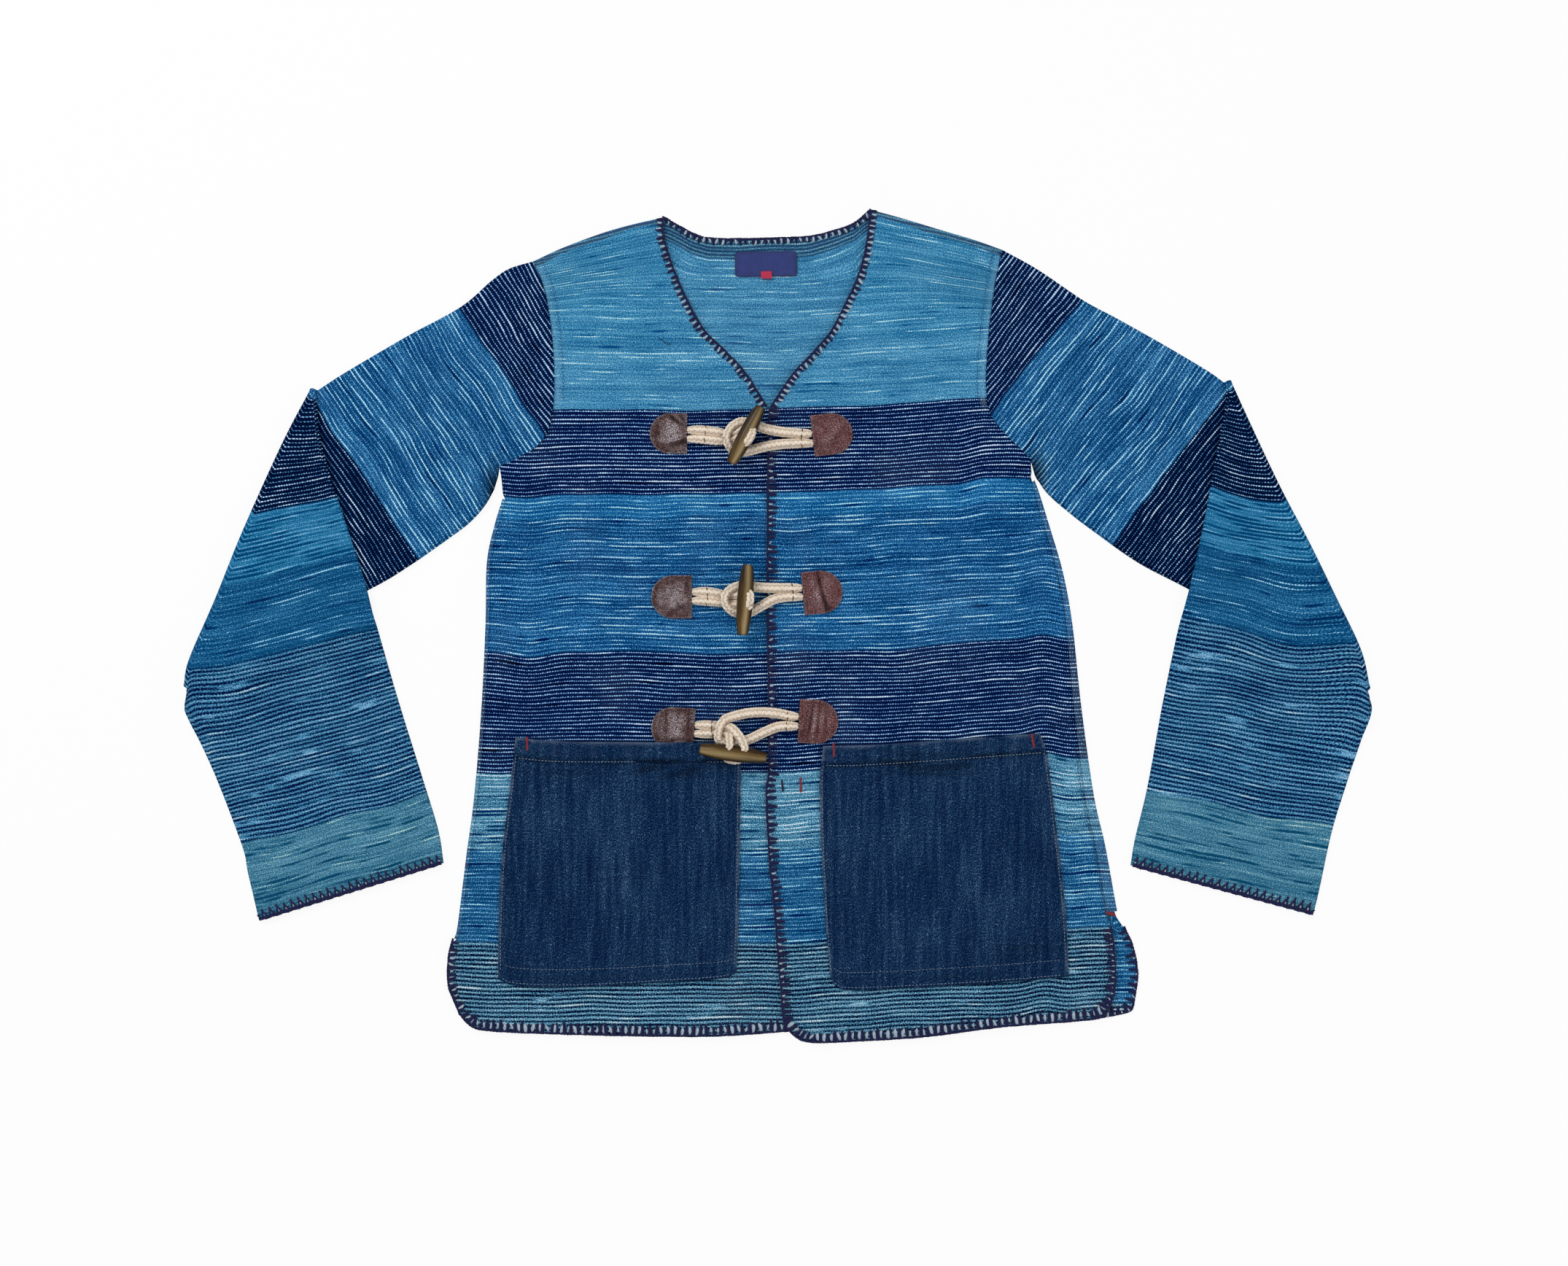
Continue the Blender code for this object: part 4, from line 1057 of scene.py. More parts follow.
def torso_place(plan: Array) -> Array:
    """Where a body point is on the cloth: along the rows is X, and across them is Y downwards.

    The rows climb to the wearer's left, dip and rise beside both side seams, and wander a little. They
    lean along the shoulders near the seams there, and the lowest rows are set wider apart.

    Args:
        plan: The plan points.

    Returns:
        Their places on the cloth, in metres.
    """
    x, y = plan[..., 0], plan[..., 1]
    across = -y + 0.055 * np.clip(x - 10, 0, 230)
    across = across + ripple(plan * np.array([1.0, 0.5]), 80, 11) + 0.4 * ripple(plan, 30, 12)
    across = across - 3.0 * bell(x + 196, 20) * (1 - smooth(90, 170, y)) * smooth(-130, -20, y)
    lean = 3.4 * (smooth(140, 165, x) - 0.5 * smooth(185, 215, x))
    across = across + lean * smooth(60, 110, y) * (1 - smooth(150, 185, y))
    across = across + 3.0 * np.sin((x - 190) / 11.0) * bell(x - 214, 22) * (1 - smooth(40, 110, y))
    slope = 0.3 * (np.clip(x - 66, 0, 130) + np.clip(-x - 82, 0, 130) * 0.9)
    across = across - slope * smooth(268, 322, y + slope)
    across = np.where(across > 247, 247 + (across - 247) * 0.9, across)
    return np.stack([x, across], axis=-1) * MM


TORSO = IndigoCloth(
    "indigo_body",
    (
        #    start  deep      ground    bead      slub      beads pale dark
        Band(-400, "00447F", "2B81AE", "73BBE2", "D8FFFF", 0.4, 0.22, 0.08),
        Band(-222, "004881", "3181AE", "75BDE4", "D8FFFF", 0.4, 0.22, 0.08),
        Band(-174.5, "00001C", "001852", "86C2F8", "F2FCFF", 0.9, 0.24, 0.0),
        Band(-151, "00001C", "001850", "84BEF6", "F2FCFF", 0.9, 0.26, 0.0),
        Band(-104, "001D58", "045A96", "60BCF4", "CBF9FC", 0.6, 0.28, 0.1),
        Band(-86, "000840", "00457F", "56B0EC", "D9F9FB", 0.6, 0.3, 0.05),
        Band(19, "00001A", "001B51", "85C0FA", "EAFBFF", 0.9, 0.22, 0.0),
        Band(84, "00001A", "001B51", "85C0FA", "EAFBFF", 0.9, 0.24, 0.0),
        Band(115.5, "002B5F", "307599", "A2E2FF", "F1F9FF", 0.5, 0.3, 0.3),
        Band(178, "001B56", "014E80", "67B5E9", "C9F9FD", 0.6, 0.34, 0.15),
        Band(247, "000027", "4790B9", "ADD2E1", "F6F7F4", 0.3, 0.18, 1.0),
    ),
)
SLEEVE = IndigoCloth(
    "indigo_sleeve",
    (
        Band(-60, "000526", "001849", "88BDEB", "DBEEFF", 0.9, 0.24, 0.0),
        Band(69, "031D4E", "034A82", "67B9EF", "D0FBFF", 0.6, 0.36, 0.05),
        Band(204, "000828", "000E34", "5292CC", "E8F8FE", 0.9, 0.24, 0.0),
        Band(290.6, "003F6F", "1A73A2", "6CB1E3", "9ACEE5", 0.6, 0.22, 0.5),
        Band(340, "032859", "034D7C", "4291C6", "B3E5FB", 0.5, 0.22, 0.15),
        Band(403.5, "000C3C", "3383B4", "8FC4E5", "D2E4E3", 0.3, 0.12, 0.95),
        Band(538, "044569", "327392", "77B0CA", "C5E5D8", 0.4, 0.14, 0.3),
    ),
    pitch=3.35,
    span=1.4,
)


BACK = replace(
    TORSO,
    name="indigo_back",
    bands=(
        Band(-400, "002C5C", "347A9D", "73AFC6", "D1EBE3", 0.4, 0.12, 0.9),
        replace(TORSO.bands[0], start=-293),
        *TORSO.bands[1:],
    ),
)


# ---------------- body panels


@dataclass
class BackPanel:
    """The flat back, with strips of it turned over on to the fronts at the side seams and shoulders."""

    step: float = 4.0
    shoulder_lip: float = SHOULDER_LIP

    def build(self) -> Piece:
        """Builds the back as one shell.

        Its flat part is the blend of four border lines, at one height, and a strip is added along each side
        seam and shoulder, where it turns over. The rows bend with the back neck, and the corner that shows
        past the left vent lies 55 mm further up the cloth.

        Returns:
            The piece.
        """
        sides = [line.border(line.slit_front, line.vent_back, self.step) for line in (RIGHT, LEFT)]
        stops = np.linspace(0, 1, max(map(len, sides)))
        tops = [spaced(line.shoulder, self.step) for line in (RIGHT, LEFT)]
        tops = [(line - outward(line) * EDGE, outward(line)) for line in tops]
        top = np.vstack([tops[0][0], spaced(BACK_NECK, self.step)[1:-1], tops[1][0][::-1]])
        hem = even(BACK_HEM, len(top) - 1)
        borders = []
        for side, corner in zip(sides, (0, -1)):
            side[:, :2] -= side[:, 2:4] * EDGE
            side[0, :2], side[-1, :2] = top[corner], hem[corner]
            borders.append(at(stops, np.linspace(0, 1, len(side)), side))
        plan = coons(top, hem, borders[0][:, :2], borders[1][:, :2])
        cloth = Patchwork()
        x, y = plan[..., 0], plan[..., 1]
        neck = np.asarray(BACK_NECK, float)
        rise = (np.interp(x, neck[:, 0], neck[:, 1]) - 306.0) * smooth(262, 300, y) * (np.abs(x) < 110)
        where = torso_place(plan - np.dstack([np.zeros_like(x), rise]))
        where[..., 1] -= 0.055 * smooth(252, 262, x) * (1 - smooth(-232, -222, y))
        points = np.dstack([plan, np.full(plan.shape[:2], LOW)])
        # Painted light: the back turns paler towards the neck, against the shade that the fronts cast there.
        grid = cloth.lay(points, where, 0.06 * smooth(150, 200, y))
        for border, column in zip(borders, (0, -1)):
            kept = np.flatnonzero(border[:, 5] > 0.99)
            ends, ways, lips, _ = np.split(border[kept], (2, 4, 5), axis=1)
            self.strip(cloth, grid[kept, column], ends, unit(ways), lips)
        counts = [len(tops[0][0]), len(tops[1][0])]
        self.strip(cloth, grid[0, : counts[0]], *tops[0], self.shoulder_lip)
        self.strip(cloth, grid[0, ::-1][: counts[1]], *tops[1], self.shoulder_lip)
        return cloth.make("back_panel_cloth", dyed(BACK), thickness=CLOTH, turn=True)

    def strip(self, cloth: Patchwork, border: Numbers, ends: Array, normals: Array, lip: Any) -> None:
        """Adds a strip that carries on from the flat border, round a turned edge and along a lip.

        The turned edge is an arc about the middle between the layers, and the lip lies level over it.

        Args:
            cloth: The mesh that takes the strip.
            border: The numbers of the flat border's last points.
            ends: Those points in plan.
            normals: Their outward unit normals.
            lip: The lip's width.
        """
        centre = np.column_stack([ends, np.full(len(ends), LOW + TURN)])
        out = np.column_stack([normals, np.zeros(len(ends))])
        up = np.array([0.0, 0.0, 1.0])
        angles = np.radians(np.linspace(-60, 90, 7))
        rows = [centre + TURN * (out * math.cos(a) + up * math.sin(a)) for a in angles]
        rows += [rows[-1] - out * lip * share for share in np.linspace(0, 1, 4)[1:]]
        points = np.stack(rows, axis=1)
        apart = np.linspace(0, 0.001, points.shape[1])[:, None]
        where = torso_place(points[..., :2] + normals[:, None] * apart)
        numbers = cloth.add(points, np.zeros((0, 4), np.int64), where, 0.12)
        cloth.faces.append(quads(np.column_stack([border, numbers])))


@dataclass
class FrontPanel:
    """A front of the jacket, from its shoulder seam to its hem."""

    line: Outline
    step: float = 2.8
    columns: int = 84

    def plan(self) -> Array:
        """The plan grid: rows from the shoulder to the hem, columns from the side to the centre.

        It is the blend of four lines. The outer one is the side's border, drawn in by the turned edge. The
        inner one has the outer's heights, which near both ends go over to the shoulder's and the hem's, and
        its X is the neckline's or the front edge's there.

        Returns:
            The grid.
        """
        line = self.line
        side = line.border(line.slit_front, line.vent_front, self.step)
        outer = side[:, :2] - side[:, 2:4] * (EDGE + side[:, 4:5] + SEAM)
        columns = np.linspace(0, 1, self.columns)
        top = through(line.shoulder, columns)
        top = top - outward(top) * (EDGE + SHOULDER_LIP + SHOULDER_GAP)
        outer[0] = top[0]
        hem = through(line.hem, columns)
        outer[-1] = hem[0]
        stops = np.linspace(0, 1, 200)
        border = np.vstack([through(line.neckline, stops), through(line.front_edge, stops)[1:]])
        fall = (outer[0, 1] - outer[:, 1]) / (outer[0, 1] - outer[-1, 1])
        rises = top[-1, 1] - outer[0, 1], hem[-1, 1] - outer[-1, 1]
        heights = outer[:, 1] + rises[0] * (1 - fall) ** 2 + rises[1] * fall**4
        inner = np.column_stack([np.interp(-heights, -border[:, 1], border[:, 0]), heights])
        inner[0], inner[-1] = top[-1], hem[-1]
        return coons(top, hem, outer, inner)

    def build(self) -> Piece:
        """Builds the front as one shell.

        To the front's height it adds a welt, a bell curve of the distance in from the centre edge or the hem.
        Painted shade darkens steep slopes, the side seam and a line at the armhole, beside which it is paler.

        Returns:
            The piece.
        """
        plan = self.plan()
        side = self.line.side
        height = front_height(side, plan)
        rows, columns = plan.shape[:2]
        outer = np.arange(columns) * self.step
        down = np.arange(rows)[:, None] * self.step
        height = height + 0.35 * bell(np.minimum(outer[::-1], down[::-1]), 7.0, 4)
        y = plan[..., 1]
        # A dark line of painted seam shade at the armhole's edge, beside a paler band.
        chest = (0.26 * bell(outer - 5.5, 3.6, 4) - 0.3 * bell(outer, 1.2)) * smooth(168, 178, y)
        slope = np.gradient(height, axis=1) / self.step
        # Random tone, and painted shade on steep fold slopes.
        wear_and_shade = 0.02 * ripple(plan, 60, 31) + chest - 0.5 * np.clip(np.abs(slope) - 0.05, 0, 0.4)
        # Painted shade along the side seam.
        wear_and_shade = wear_and_shade - 0.2 * bell(outer, 2.0) * (1 - smooth(110, 140, y)) * smooth(-235, -225, y)
        cloth = Patchwork()
        cloth.lay(np.dstack([plan, height]), torso_place(plan), wear_and_shade)
        name = f"front_{side.value}_cloth"
        return cloth.make(name, dyed(TORSO), thickness=CLOTH, turn=True)


# ---------------- sleeves


@dataclass
class Sleeve:
    """A flattened tube: out from the armhole, turned over at the elbow and laid back down beside the body.

    `stops` are the shares across at which the armhole's points and the slit's stand. The lower part goes by
    ten stages: `inner_stops` and `outer_stops` are how far along its edges each one is, and `lift_inner` and
    `lift_outer` how far each edge is held up, from 0 on the surface to 1 over the upper part.
    """

    line: Outline
    upper_rows: tuple[float, float, float]
    lower_rows: tuple[float, float, float]
    creases: tuple[Crease, ...]
    columns: int = 60
    upper: int = 72
    turns: int = 14
    lower: int = 116
    rounds: int = 5
    stops: tuple[float, ...] = (0.0, 0.085, 0.165, 0.24, 0.315, 0.39, 0.455, 0.61, 0.81, 1.0)
    fan: float = 4.0
    inner_stops: tuple[float, ...] = (0.0, 0.16, 0.32, 0.435, 0.47, 0.50, 0.54, 0.68, 0.84, 1.0)
    outer_stops: tuple[float, ...] = (0.0, 0.03, 0.06, 0.09, 0.15, 0.21, 0.28, 0.48, 0.74, 1.0)
    lift_inner: tuple[float, ...] = (1, 1, 1, 1, 0.75, 0.25, 0, 0, 0, 0)
    lift_outer: tuple[float, ...] = (1, 1, 1, 1, 0.70, 0.25, 0, 0, 0, 0)

    def hole(self, shares: Array) -> Array:
        """The sleeve's first line, along the armhole and down its own side of the slit.

        Args:
            shares: Shares of the way across the sleeve.

        Returns:
            The line's points.
        """
        armhole = through(self.line.armhole, np.interp(shares, self.stops[:8], np.linspace(0, 1, 8)))
        ends = np.vstack([armhole[-1:], self.line.slit_sleeve])
        ends[0] = self.line.armhole[-1]
        return np.where(shares[:, None] <= self.stops[7], armhole, at(shares, self.stops[7:], ends))

    def flat_ring(self, lines: Array, firsts: Array, lasts: Array) -> tuple[Array, Array]:
        """Sections of the flat tube over plan lines.

        A section runs out along the lower layer, round the far edge in an arc, back along the upper layer
        and round the near edge.

        Args:
            lines: Rows by columns by two.
            firsts: Each row's outward normal at its first point.
            lasts: The same at its last point.

        Returns:
            The places, rows by ring by two, and their heights in the tube.
        """
        flat = lines.copy()
        flat[:, 0] -= firsts * EDGE
        flat[:, -1] -= lasts * EDGE
        angles = np.radians(np.linspace(-90, 90, self.rounds + 2)[1:-1])
        far = flat[:, -1:] + lasts[:, None] * (TURN * np.cos(angles))[:, None]
        near = flat[:, :1] + firsts[:, None] * (TURN * np.cos(angles))[:, None]
        arc = LOW + TURN + TURN * np.sin(angles)
        level = np.ones(flat.shape[1])
        places = np.concatenate([flat, far, flat[:, ::-1], near], axis=1)
        heights = np.concatenate([level * LOW, arc, level * HIGH, arc[::-1]])
        return places, np.broadcast_to(heights, places.shape[:2])

    def rows_at(self, gradient: tuple[float, float, float], plan: Array) -> Array:
        """Where plan points are on the cloth: a turn of the plan, so that rows run square to the gradient.

        Args:
            gradient: How the place across changes along X and along Y, and its start.
            plan: The plan points.

        Returns:
            Their places along and across, in millimetres.
        """
        a, b, offset = gradient
        x, y = plan[..., 0], plan[..., 1]
        across = a * x + b * y + offset
        along = (b * x - a * y) / math.hypot(a, b)
        return np.stack([along, across], axis=-1)

    def build(self) -> Piece:
        """Builds the sleeve as one closed-round shell with an open end at the armhole and at the cuff.

        The upper part is the blend of the armhole, the fold line and its two edges, as sections of the flat
        tube. The last section turns about the fold's axis, up to half a turn. A point moves out by its depth
        under the axis times the sine, plus its distance past the axis line times the cosine less 1. It stands
        at the axis's height less that depth times the cosine, plus that distance times the sine. The lower
        part runs between its own edges upside down: its height is twice the axis's less that in the tube, and
        it comes down to the surface where it isn't held up. Its places on the cloth go over from the upper
        part's to its own by a bell curve of the distance from the fold.

        Returns:
            The piece.
        """
        line = self.line
        shares = np.unique(np.concatenate([np.linspace(0, 1, self.columns), self.stops[7:9]]))
        hole = self.hole(shares)
        fold = through(line.fold, shares)
        out = unit(np.array([fold[0, 1] - fold[-1, 1], fold[-1, 0] - fold[0, 0]]))
        out = out * np.sign(out[0] * fold[0, 0])
        axis = fold - out * FOLD_AXIS
        start = hole + outward(hole) * SEAM
        rows = np.linspace(0, 1, self.upper)
        over = through(np.vstack([start[:1], line.overarm[1:-1], axis[:1]]), rows)
        under = through(np.vstack([start[-1:], line.underarm[1:-1], axis[-1:]]), rows)
        plan = coons(start, axis, over, under, shares)
        firsts, lasts = outward(over, under), outward(under, over)
        places, heights = self.flat_ring(plan, firsts, lasts)
        upper = np.dstack([places, heights])
        upper_where = self.rows_at(self.upper_rows, places)

        along = np.array([-out[1], out[0]])
        order = np.argsort(axis @ along)
        base, level = places[-1], heights[-1]
        past = base @ out - np.interp(base @ along, (axis @ along)[order], (axis @ out)[order])
        angles = np.linspace(0, math.pi, self.turns)[1:, None]
        reach = (FOLD_AXIS - level)[None]
        moved = reach * np.sin(angles) + past * (np.cos(angles) - 1)
        height = np.maximum(FOLD_AXIS - reach * np.cos(angles) + past * np.sin(angles), LOW)
        turned = np.concatenate([base + moved[..., None] * out, height[..., None]], axis=-1)
        ahead = self.rows_at(self.upper_rows, out) - self.rows_at(self.upper_rows, 0 * out)
        gone = np.minimum(angles, math.pi - angles) * reach
        turned_where = upper_where[-1] + gone[..., None] * ahead

        steps = np.linspace(0, 9, self.lower + 1)[1:]
        inner_at, outer_at, lift_in, lift_out = (
            np.interp(steps, np.arange(10), row)
            for row in (self.inner_stops, self.outer_stops, self.lift_inner, self.lift_outer)
        )
        inner = through(np.vstack([axis[:1], line.inner]), np.concatenate([[0], inner_at]))
        outer = through(np.vstack([axis[-1:], line.outer]), np.concatenate([[0], outer_at]))
        firsts, lasts = outward(inner, outer)[1:], outward(outer, inner)[1:]
        spread = shares[None, :, None]
        bow = (axis - axis[0] - shares[:, None] * (axis[-1] - axis[0]))[None]
        fade = np.maximum(0.0, 1 - steps / self.fan)[:, None, None]
        lines = inner[1:, None] + spread * (outer[1:, None] - inner[1:, None]) + bow * fade
        places, heights = self.flat_ring(lines, firsts, lasts)
        width = np.linalg.norm(lines[:, -1] - lines[:, 0], axis=-1)[:, None]
        share = np.clip(np.linalg.norm(places - lines[:, :1], axis=-1) / width, 0, 1)
        lift = lift_in[:, None] + share * (lift_out - lift_in)[:, None]
        lifted = 2 * FOLD_AXIS - heights - (TUBE + 2 * FOLD_GAP) * (1 - smooth(0, 1, lift))
        lower = np.dstack([places, lifted])

        mirror = np.array([-1.0, 1.0])
        gap = upper_where[-1] - self.rows_at(self.lower_rows, base) * mirror
        shift = np.array([gap[:, 0].mean(), 0])
        far = np.cumsum(np.linalg.norm(np.diff(places, axis=0, prepend=base[None]), axis=-1), axis=0)
        flip = self.rows_at(self.lower_rows, places) * mirror
        flip = flip + (gap - shift) * bell(far, 70.0)[..., None] + shift

        points = np.concatenate([upper, turned, lower])
        where = np.concatenate([upper_where, turned_where, flip])
        where[..., 1] += 1.5 * ripple(points, 90, 41) + 0.5 * ripple(points, 30, 42)
        points, wear_and_shade = self.shape(points, len(upper), len(turned), shares)
        cloth = Patchwork()
        numbers = numbered(*points.shape[:2])
        cloth.add(points, quads(np.column_stack([numbers, numbers[:, 0]])), where * MM, wear_and_shade)
        name = f"sleeve_{line.side.value}_cloth"
        return cloth.make(name, dyed(SLEEVE), thickness=CLOTH, turn=True)

    def shape(self, points: Array, upper: int, turned: int, shares: Array) -> tuple[Array, Array]:
        """Lays the creases on the layer that shows.

        A point's weight is 1 on the top layer, 0 on the lower one and a half round the fold, near which a
        soft step flattens the creases. Bell curves lift a welt at the armhole and at the cuff. Painted shade
        darkens steep slopes and the armpit.

        Args:
            points: The sleeve's points, sections by ring by three.
            upper: How many sections stand before the fold.
            turned: How many turn round it.
            shares: The columns' shares of the way across.

        Returns:
            The points with their relief, and their painted shade.
        """
        many = len(shares)
        ramp = np.linspace(0, 1, self.rounds + 2)[1:-1]
        on_top = np.concatenate([np.zeros(many), ramp, np.ones(many), ramp[::-1]])
        past = upper + turned
        weight = np.empty(points.shape[:2])
        weight[:upper], weight[upper:past], weight[past:] = on_top, 0.5, 1 - on_top
        x, y = points[..., 0], points[..., 1]
        small = 0.25 * ripple(points, 40, 51) + 0.1 * ripple(points, 12, 52)
        height = relief(self.creases, points[..., :2]) + small
        section = np.arange(len(points))[:, None]
        near_fold = 1 - smooth(upper - 30, upper - 8, section) * (1 - smooth(past, past + 12, section))
        welt = 0.9 * bell(section, 3.4, 4)
        cuff = 0.5 * bell(len(points) - 1 - section, 4.0, 4)
        moved = points.copy()
        moved[..., 2] += (np.clip(height, -0.9, 4) * near_fold + welt + cuff) * weight
        slope = np.gradient(height, axis=1)
        pit = np.mean(self.line.slit_sleeve, axis=0)
        # Painted shade on steep slopes, and a painted shadow at the armpit.
        wear_and_shade = -0.35 * np.clip(np.abs(slope) - 0.12, 0, 0.5)
        wear_and_shade = wear_and_shade - 1.1 * bell(x - pit[0], 9.0) * bell(y - pit[1] + 4, 18.0)
        return moved, wear_and_shade


RIGHT_SLEEVE = Sleeve(
    RIGHT,
    (-0.835, -0.55, 0.0),
    (0.265, -0.964, 488.0),
    creases(
        (-205, 200, 78, 120, 14, 1.4), (-214, 168, 62, 70, 10, -0.8), (-240, 150, 20, 90, 16, 0.9),
        (-262, 112, 34, 90, 14, 1), (-276, 180, 24, 110, 26, 1), (-246, 92, 40, 50, 8, -0.8),
        (-300, 110, -62, 90, 12, 0.7), (-392, 52, 22, 120, 20, 0.8), (-360, -8, 16, 120, 16, 0.8),
        (-440, -60, 60, 70, 14, 1), (-330, -80, 74, 110, 16, 0.9), (-408, -120, 64, 110, 12, 0.9),
        (-345, -150, 12, 100, 18, 0.7), (-300, -170, 70, 60, 12, 0.7),
    ),
)
LEFT_SLEEVE = Sleeve(
    LEFT,
    (0.79, -0.61, 39.0),
    (-0.2, -0.98, 474.0),
    creases(
        (190, 220, 100, 110, 14, 1.2), (206, 160, 128, 70, 12, 1.2), (216, 140, 130, 60, 7, -0.9),
        (236, 118, 140, 60, 9, 0.9), (262, 180, 150, 110, 24, 1), (300, 150, 52, 90, 16, 0.8),
        (252, 92, 142, 50, 8, -0.7), (372, 60, -14, 110, 18, 0.8), (400, 10, -12, 110, 16, 0.7),
        (448, -50, 98, 80, 12, 1.1), (330, -60, 84, 120, 16, 0.8), (392, -110, 78, 120, 16, 0.8),
        (436, -140, 72, 70, 8, -0.7), (350, -160, -10, 90, 16, 0.7),
    ),
)


# ---------------- pockets and label


@dataclass
class Pocket:
    """A denim patch pocket: edges turned in, a sewn hem at its mouth, and puckers along the stitching."""

    side: Side
    top: Points
    outer: Points
    centre: Points
    bottom: Points
    folds: tuple[Crease, ...]
    hem: float = 14.5
    step: float = 2.0
    steps: tuple[int, int] = (96, 98)
    gape: tuple[float, float, float, float] | None = None

    def plan(self) -> Array:
        """The plan grid, rows from the mouth down and columns from the outer edge in."""
        across, down = self.steps
        top, bottom = even(self.top, across), even(self.bottom, across)
        return coons(top, bottom, even(self.outer, down), even(self.centre, down))

    def height(self, plan: Array, rise: float) -> Array:
        """Height of the pocket's middle over plan points, a rise above the front's.

        Args:
            plan: The plan points.
            rise: How far above the front's middle it lies.

        Returns:
            The heights.
        """
        lift = rise + np.zeros(plan.shape[:-1])
        if self.gape:
            centre, flat, end, reach = self.gape
            off = np.abs(plan[..., 0] - centre)
            depth = plan[:1, :, 1] - plan[..., 1]
            lift = lift + reach * (1 - smooth(flat, end, off)) * (1 - smooth(12, 30, depth))
        return front_height(self.side, plan) + lift + relief(self.folds, plan)

    def build(self) -> Piece:
        """Builds the pocket as one shell.

        To the pocket's height it adds a welt, a bell curve of the distance in from its edges, a soft step up
        for the mouth's hem, a groove at the hem's seam, and sines for the puckers along the hem and the
        edges. Its rim is faded paler in patches; painted shade darkens the seam and the slopes, and the
        puckers carry painted light and shade.

        Returns:
            The piece.
        """
        plan = self.plan()
        rows, columns = plan.shape[:2]
        height = self.height(plan, (CLOTH + DENIM) / 2 + 0.5)
        row = np.arange(rows)[:, None] * self.step
        column = np.arange(columns)[None, :] * self.step
        flanks = np.minimum(column, column[:, ::-1])
        sides = np.minimum(flanks, row[::-1])
        edge = bell(sides, 8.0, 6)
        hem = 1 - smooth(self.hem - 0.8, self.hem + 0.8, row)
        pucker = np.sin(plan[..., 0] / 2.9 + 1.5 * ripple(plan, 30, 61))
        band = bell(row - self.hem, 7.0) * bell(row - self.hem, 40)
        height = height + 0.3 * edge + 0.45 * hem + 0.16 * pucker * band
        height = height - 0.32 * bell(row - self.hem - 1.2, 1.3)
        height = height + 0.14 * np.sin(plan[..., 1] / 2.7) * bell(sides - 6.5, 5.0)
        # The rim is paler in patches, where the denim is faded.
        rim = bell(np.minimum(flanks, row), 1.6) * smooth(0, 8, row[::-1])
        # Painted shade in the groove under the hem's seam.
        line = -0.5 * bell(row - self.hem - 1.4, 1.2)
        patchy = ripple(plan, 22, 62)
        # The puckers carry painted light and shade.
        wear_and_shade = 0.55 * rim * np.clip(0.6 + 0.6 * patchy, 0, 1) + line + 0.1 * pucker * band
        # Painted shade on slopes.
        slope = np.gradient(height, axis=0)
        wear_and_shade = wear_and_shade - np.clip(np.abs(slope) - 0.03, 0, 0.5) * 1.2
        cloth = Patchwork()
        cloth.lay(np.dstack([plan, height]), plan * MM, wear_and_shade)
        return cloth.make(f"pocket_{self.side.value}_cloth", dyed(Denim()), thickness=DENIM, turn=True)


RIGHT_POCKET = Pocket(
    Side.RIGHT,
    top=((-206.5, -88.5), (-170, -91.5), (-100, -92), (-28.9, -92.5)),
    outer=((-206.5, -88.5), (-211, -130), (-216.5, -175), (-219.5, -225), (-220.3, -279)),
    centre=((-28.9, -92.5), (-29.5, -150), (-30.8, -230), (-32.5, -274)),
    bottom=((-220.3, -279), (-205, -284), (-160, -285.2), (-90, -281.5), (-45, -278.5), (-32.5, -274)),
    folds=creases(
        (-160, -112, 0, 90, 10, 0.7), (-96, -114, 12, 40, 6, -0.7), (-70, -110, 20, 40, 10, 0.9),
        (-150, -195, -2, 130, 10, 0.5), (-110, -232, 88, 110, 26, 0.7), (-176, -150, 84, 110, 22, 0.6),
        (-60, -190, 92, 120, 20, 0.5),
    ),
    gape=(-84.0, 22.0, 34.0, 2.3),
)
LEFT_POCKET = Pocket(
    Side.LEFT,
    top=((207, -85.2), (160, -88.5), (110, -92), (70, -94.5), (36, -95)),
    outer=((207, -85.2), (212.5, -103), (220.2, -163), (227.1, -225), (229.7, -277)),
    centre=((36, -95), (33.5, -124.6), (35, -178.6), (38.6, -240), (42, -278)),
    bottom=((229.7, -277), (190, -280.5), (120, -285), (60, -287.5), (47, -285), (42, -278)),
    folds=creases(
        (116, -107, -3, 70, 9, 1.3, 3), (116, -115, -3, 72, 5, -1.3, 3), (78, -118, 30, 24, 6, -0.6),
        (150, -103, 14, 50, 7, 0.6), (190, -258, 0, 60, 8, -0.6), (190, -250, 0, 70, 10, 0.5),
        (120, -190, 90, 120, 26, 0.6), (70, -170, 86, 110, 20, 0.5),
    ),
)


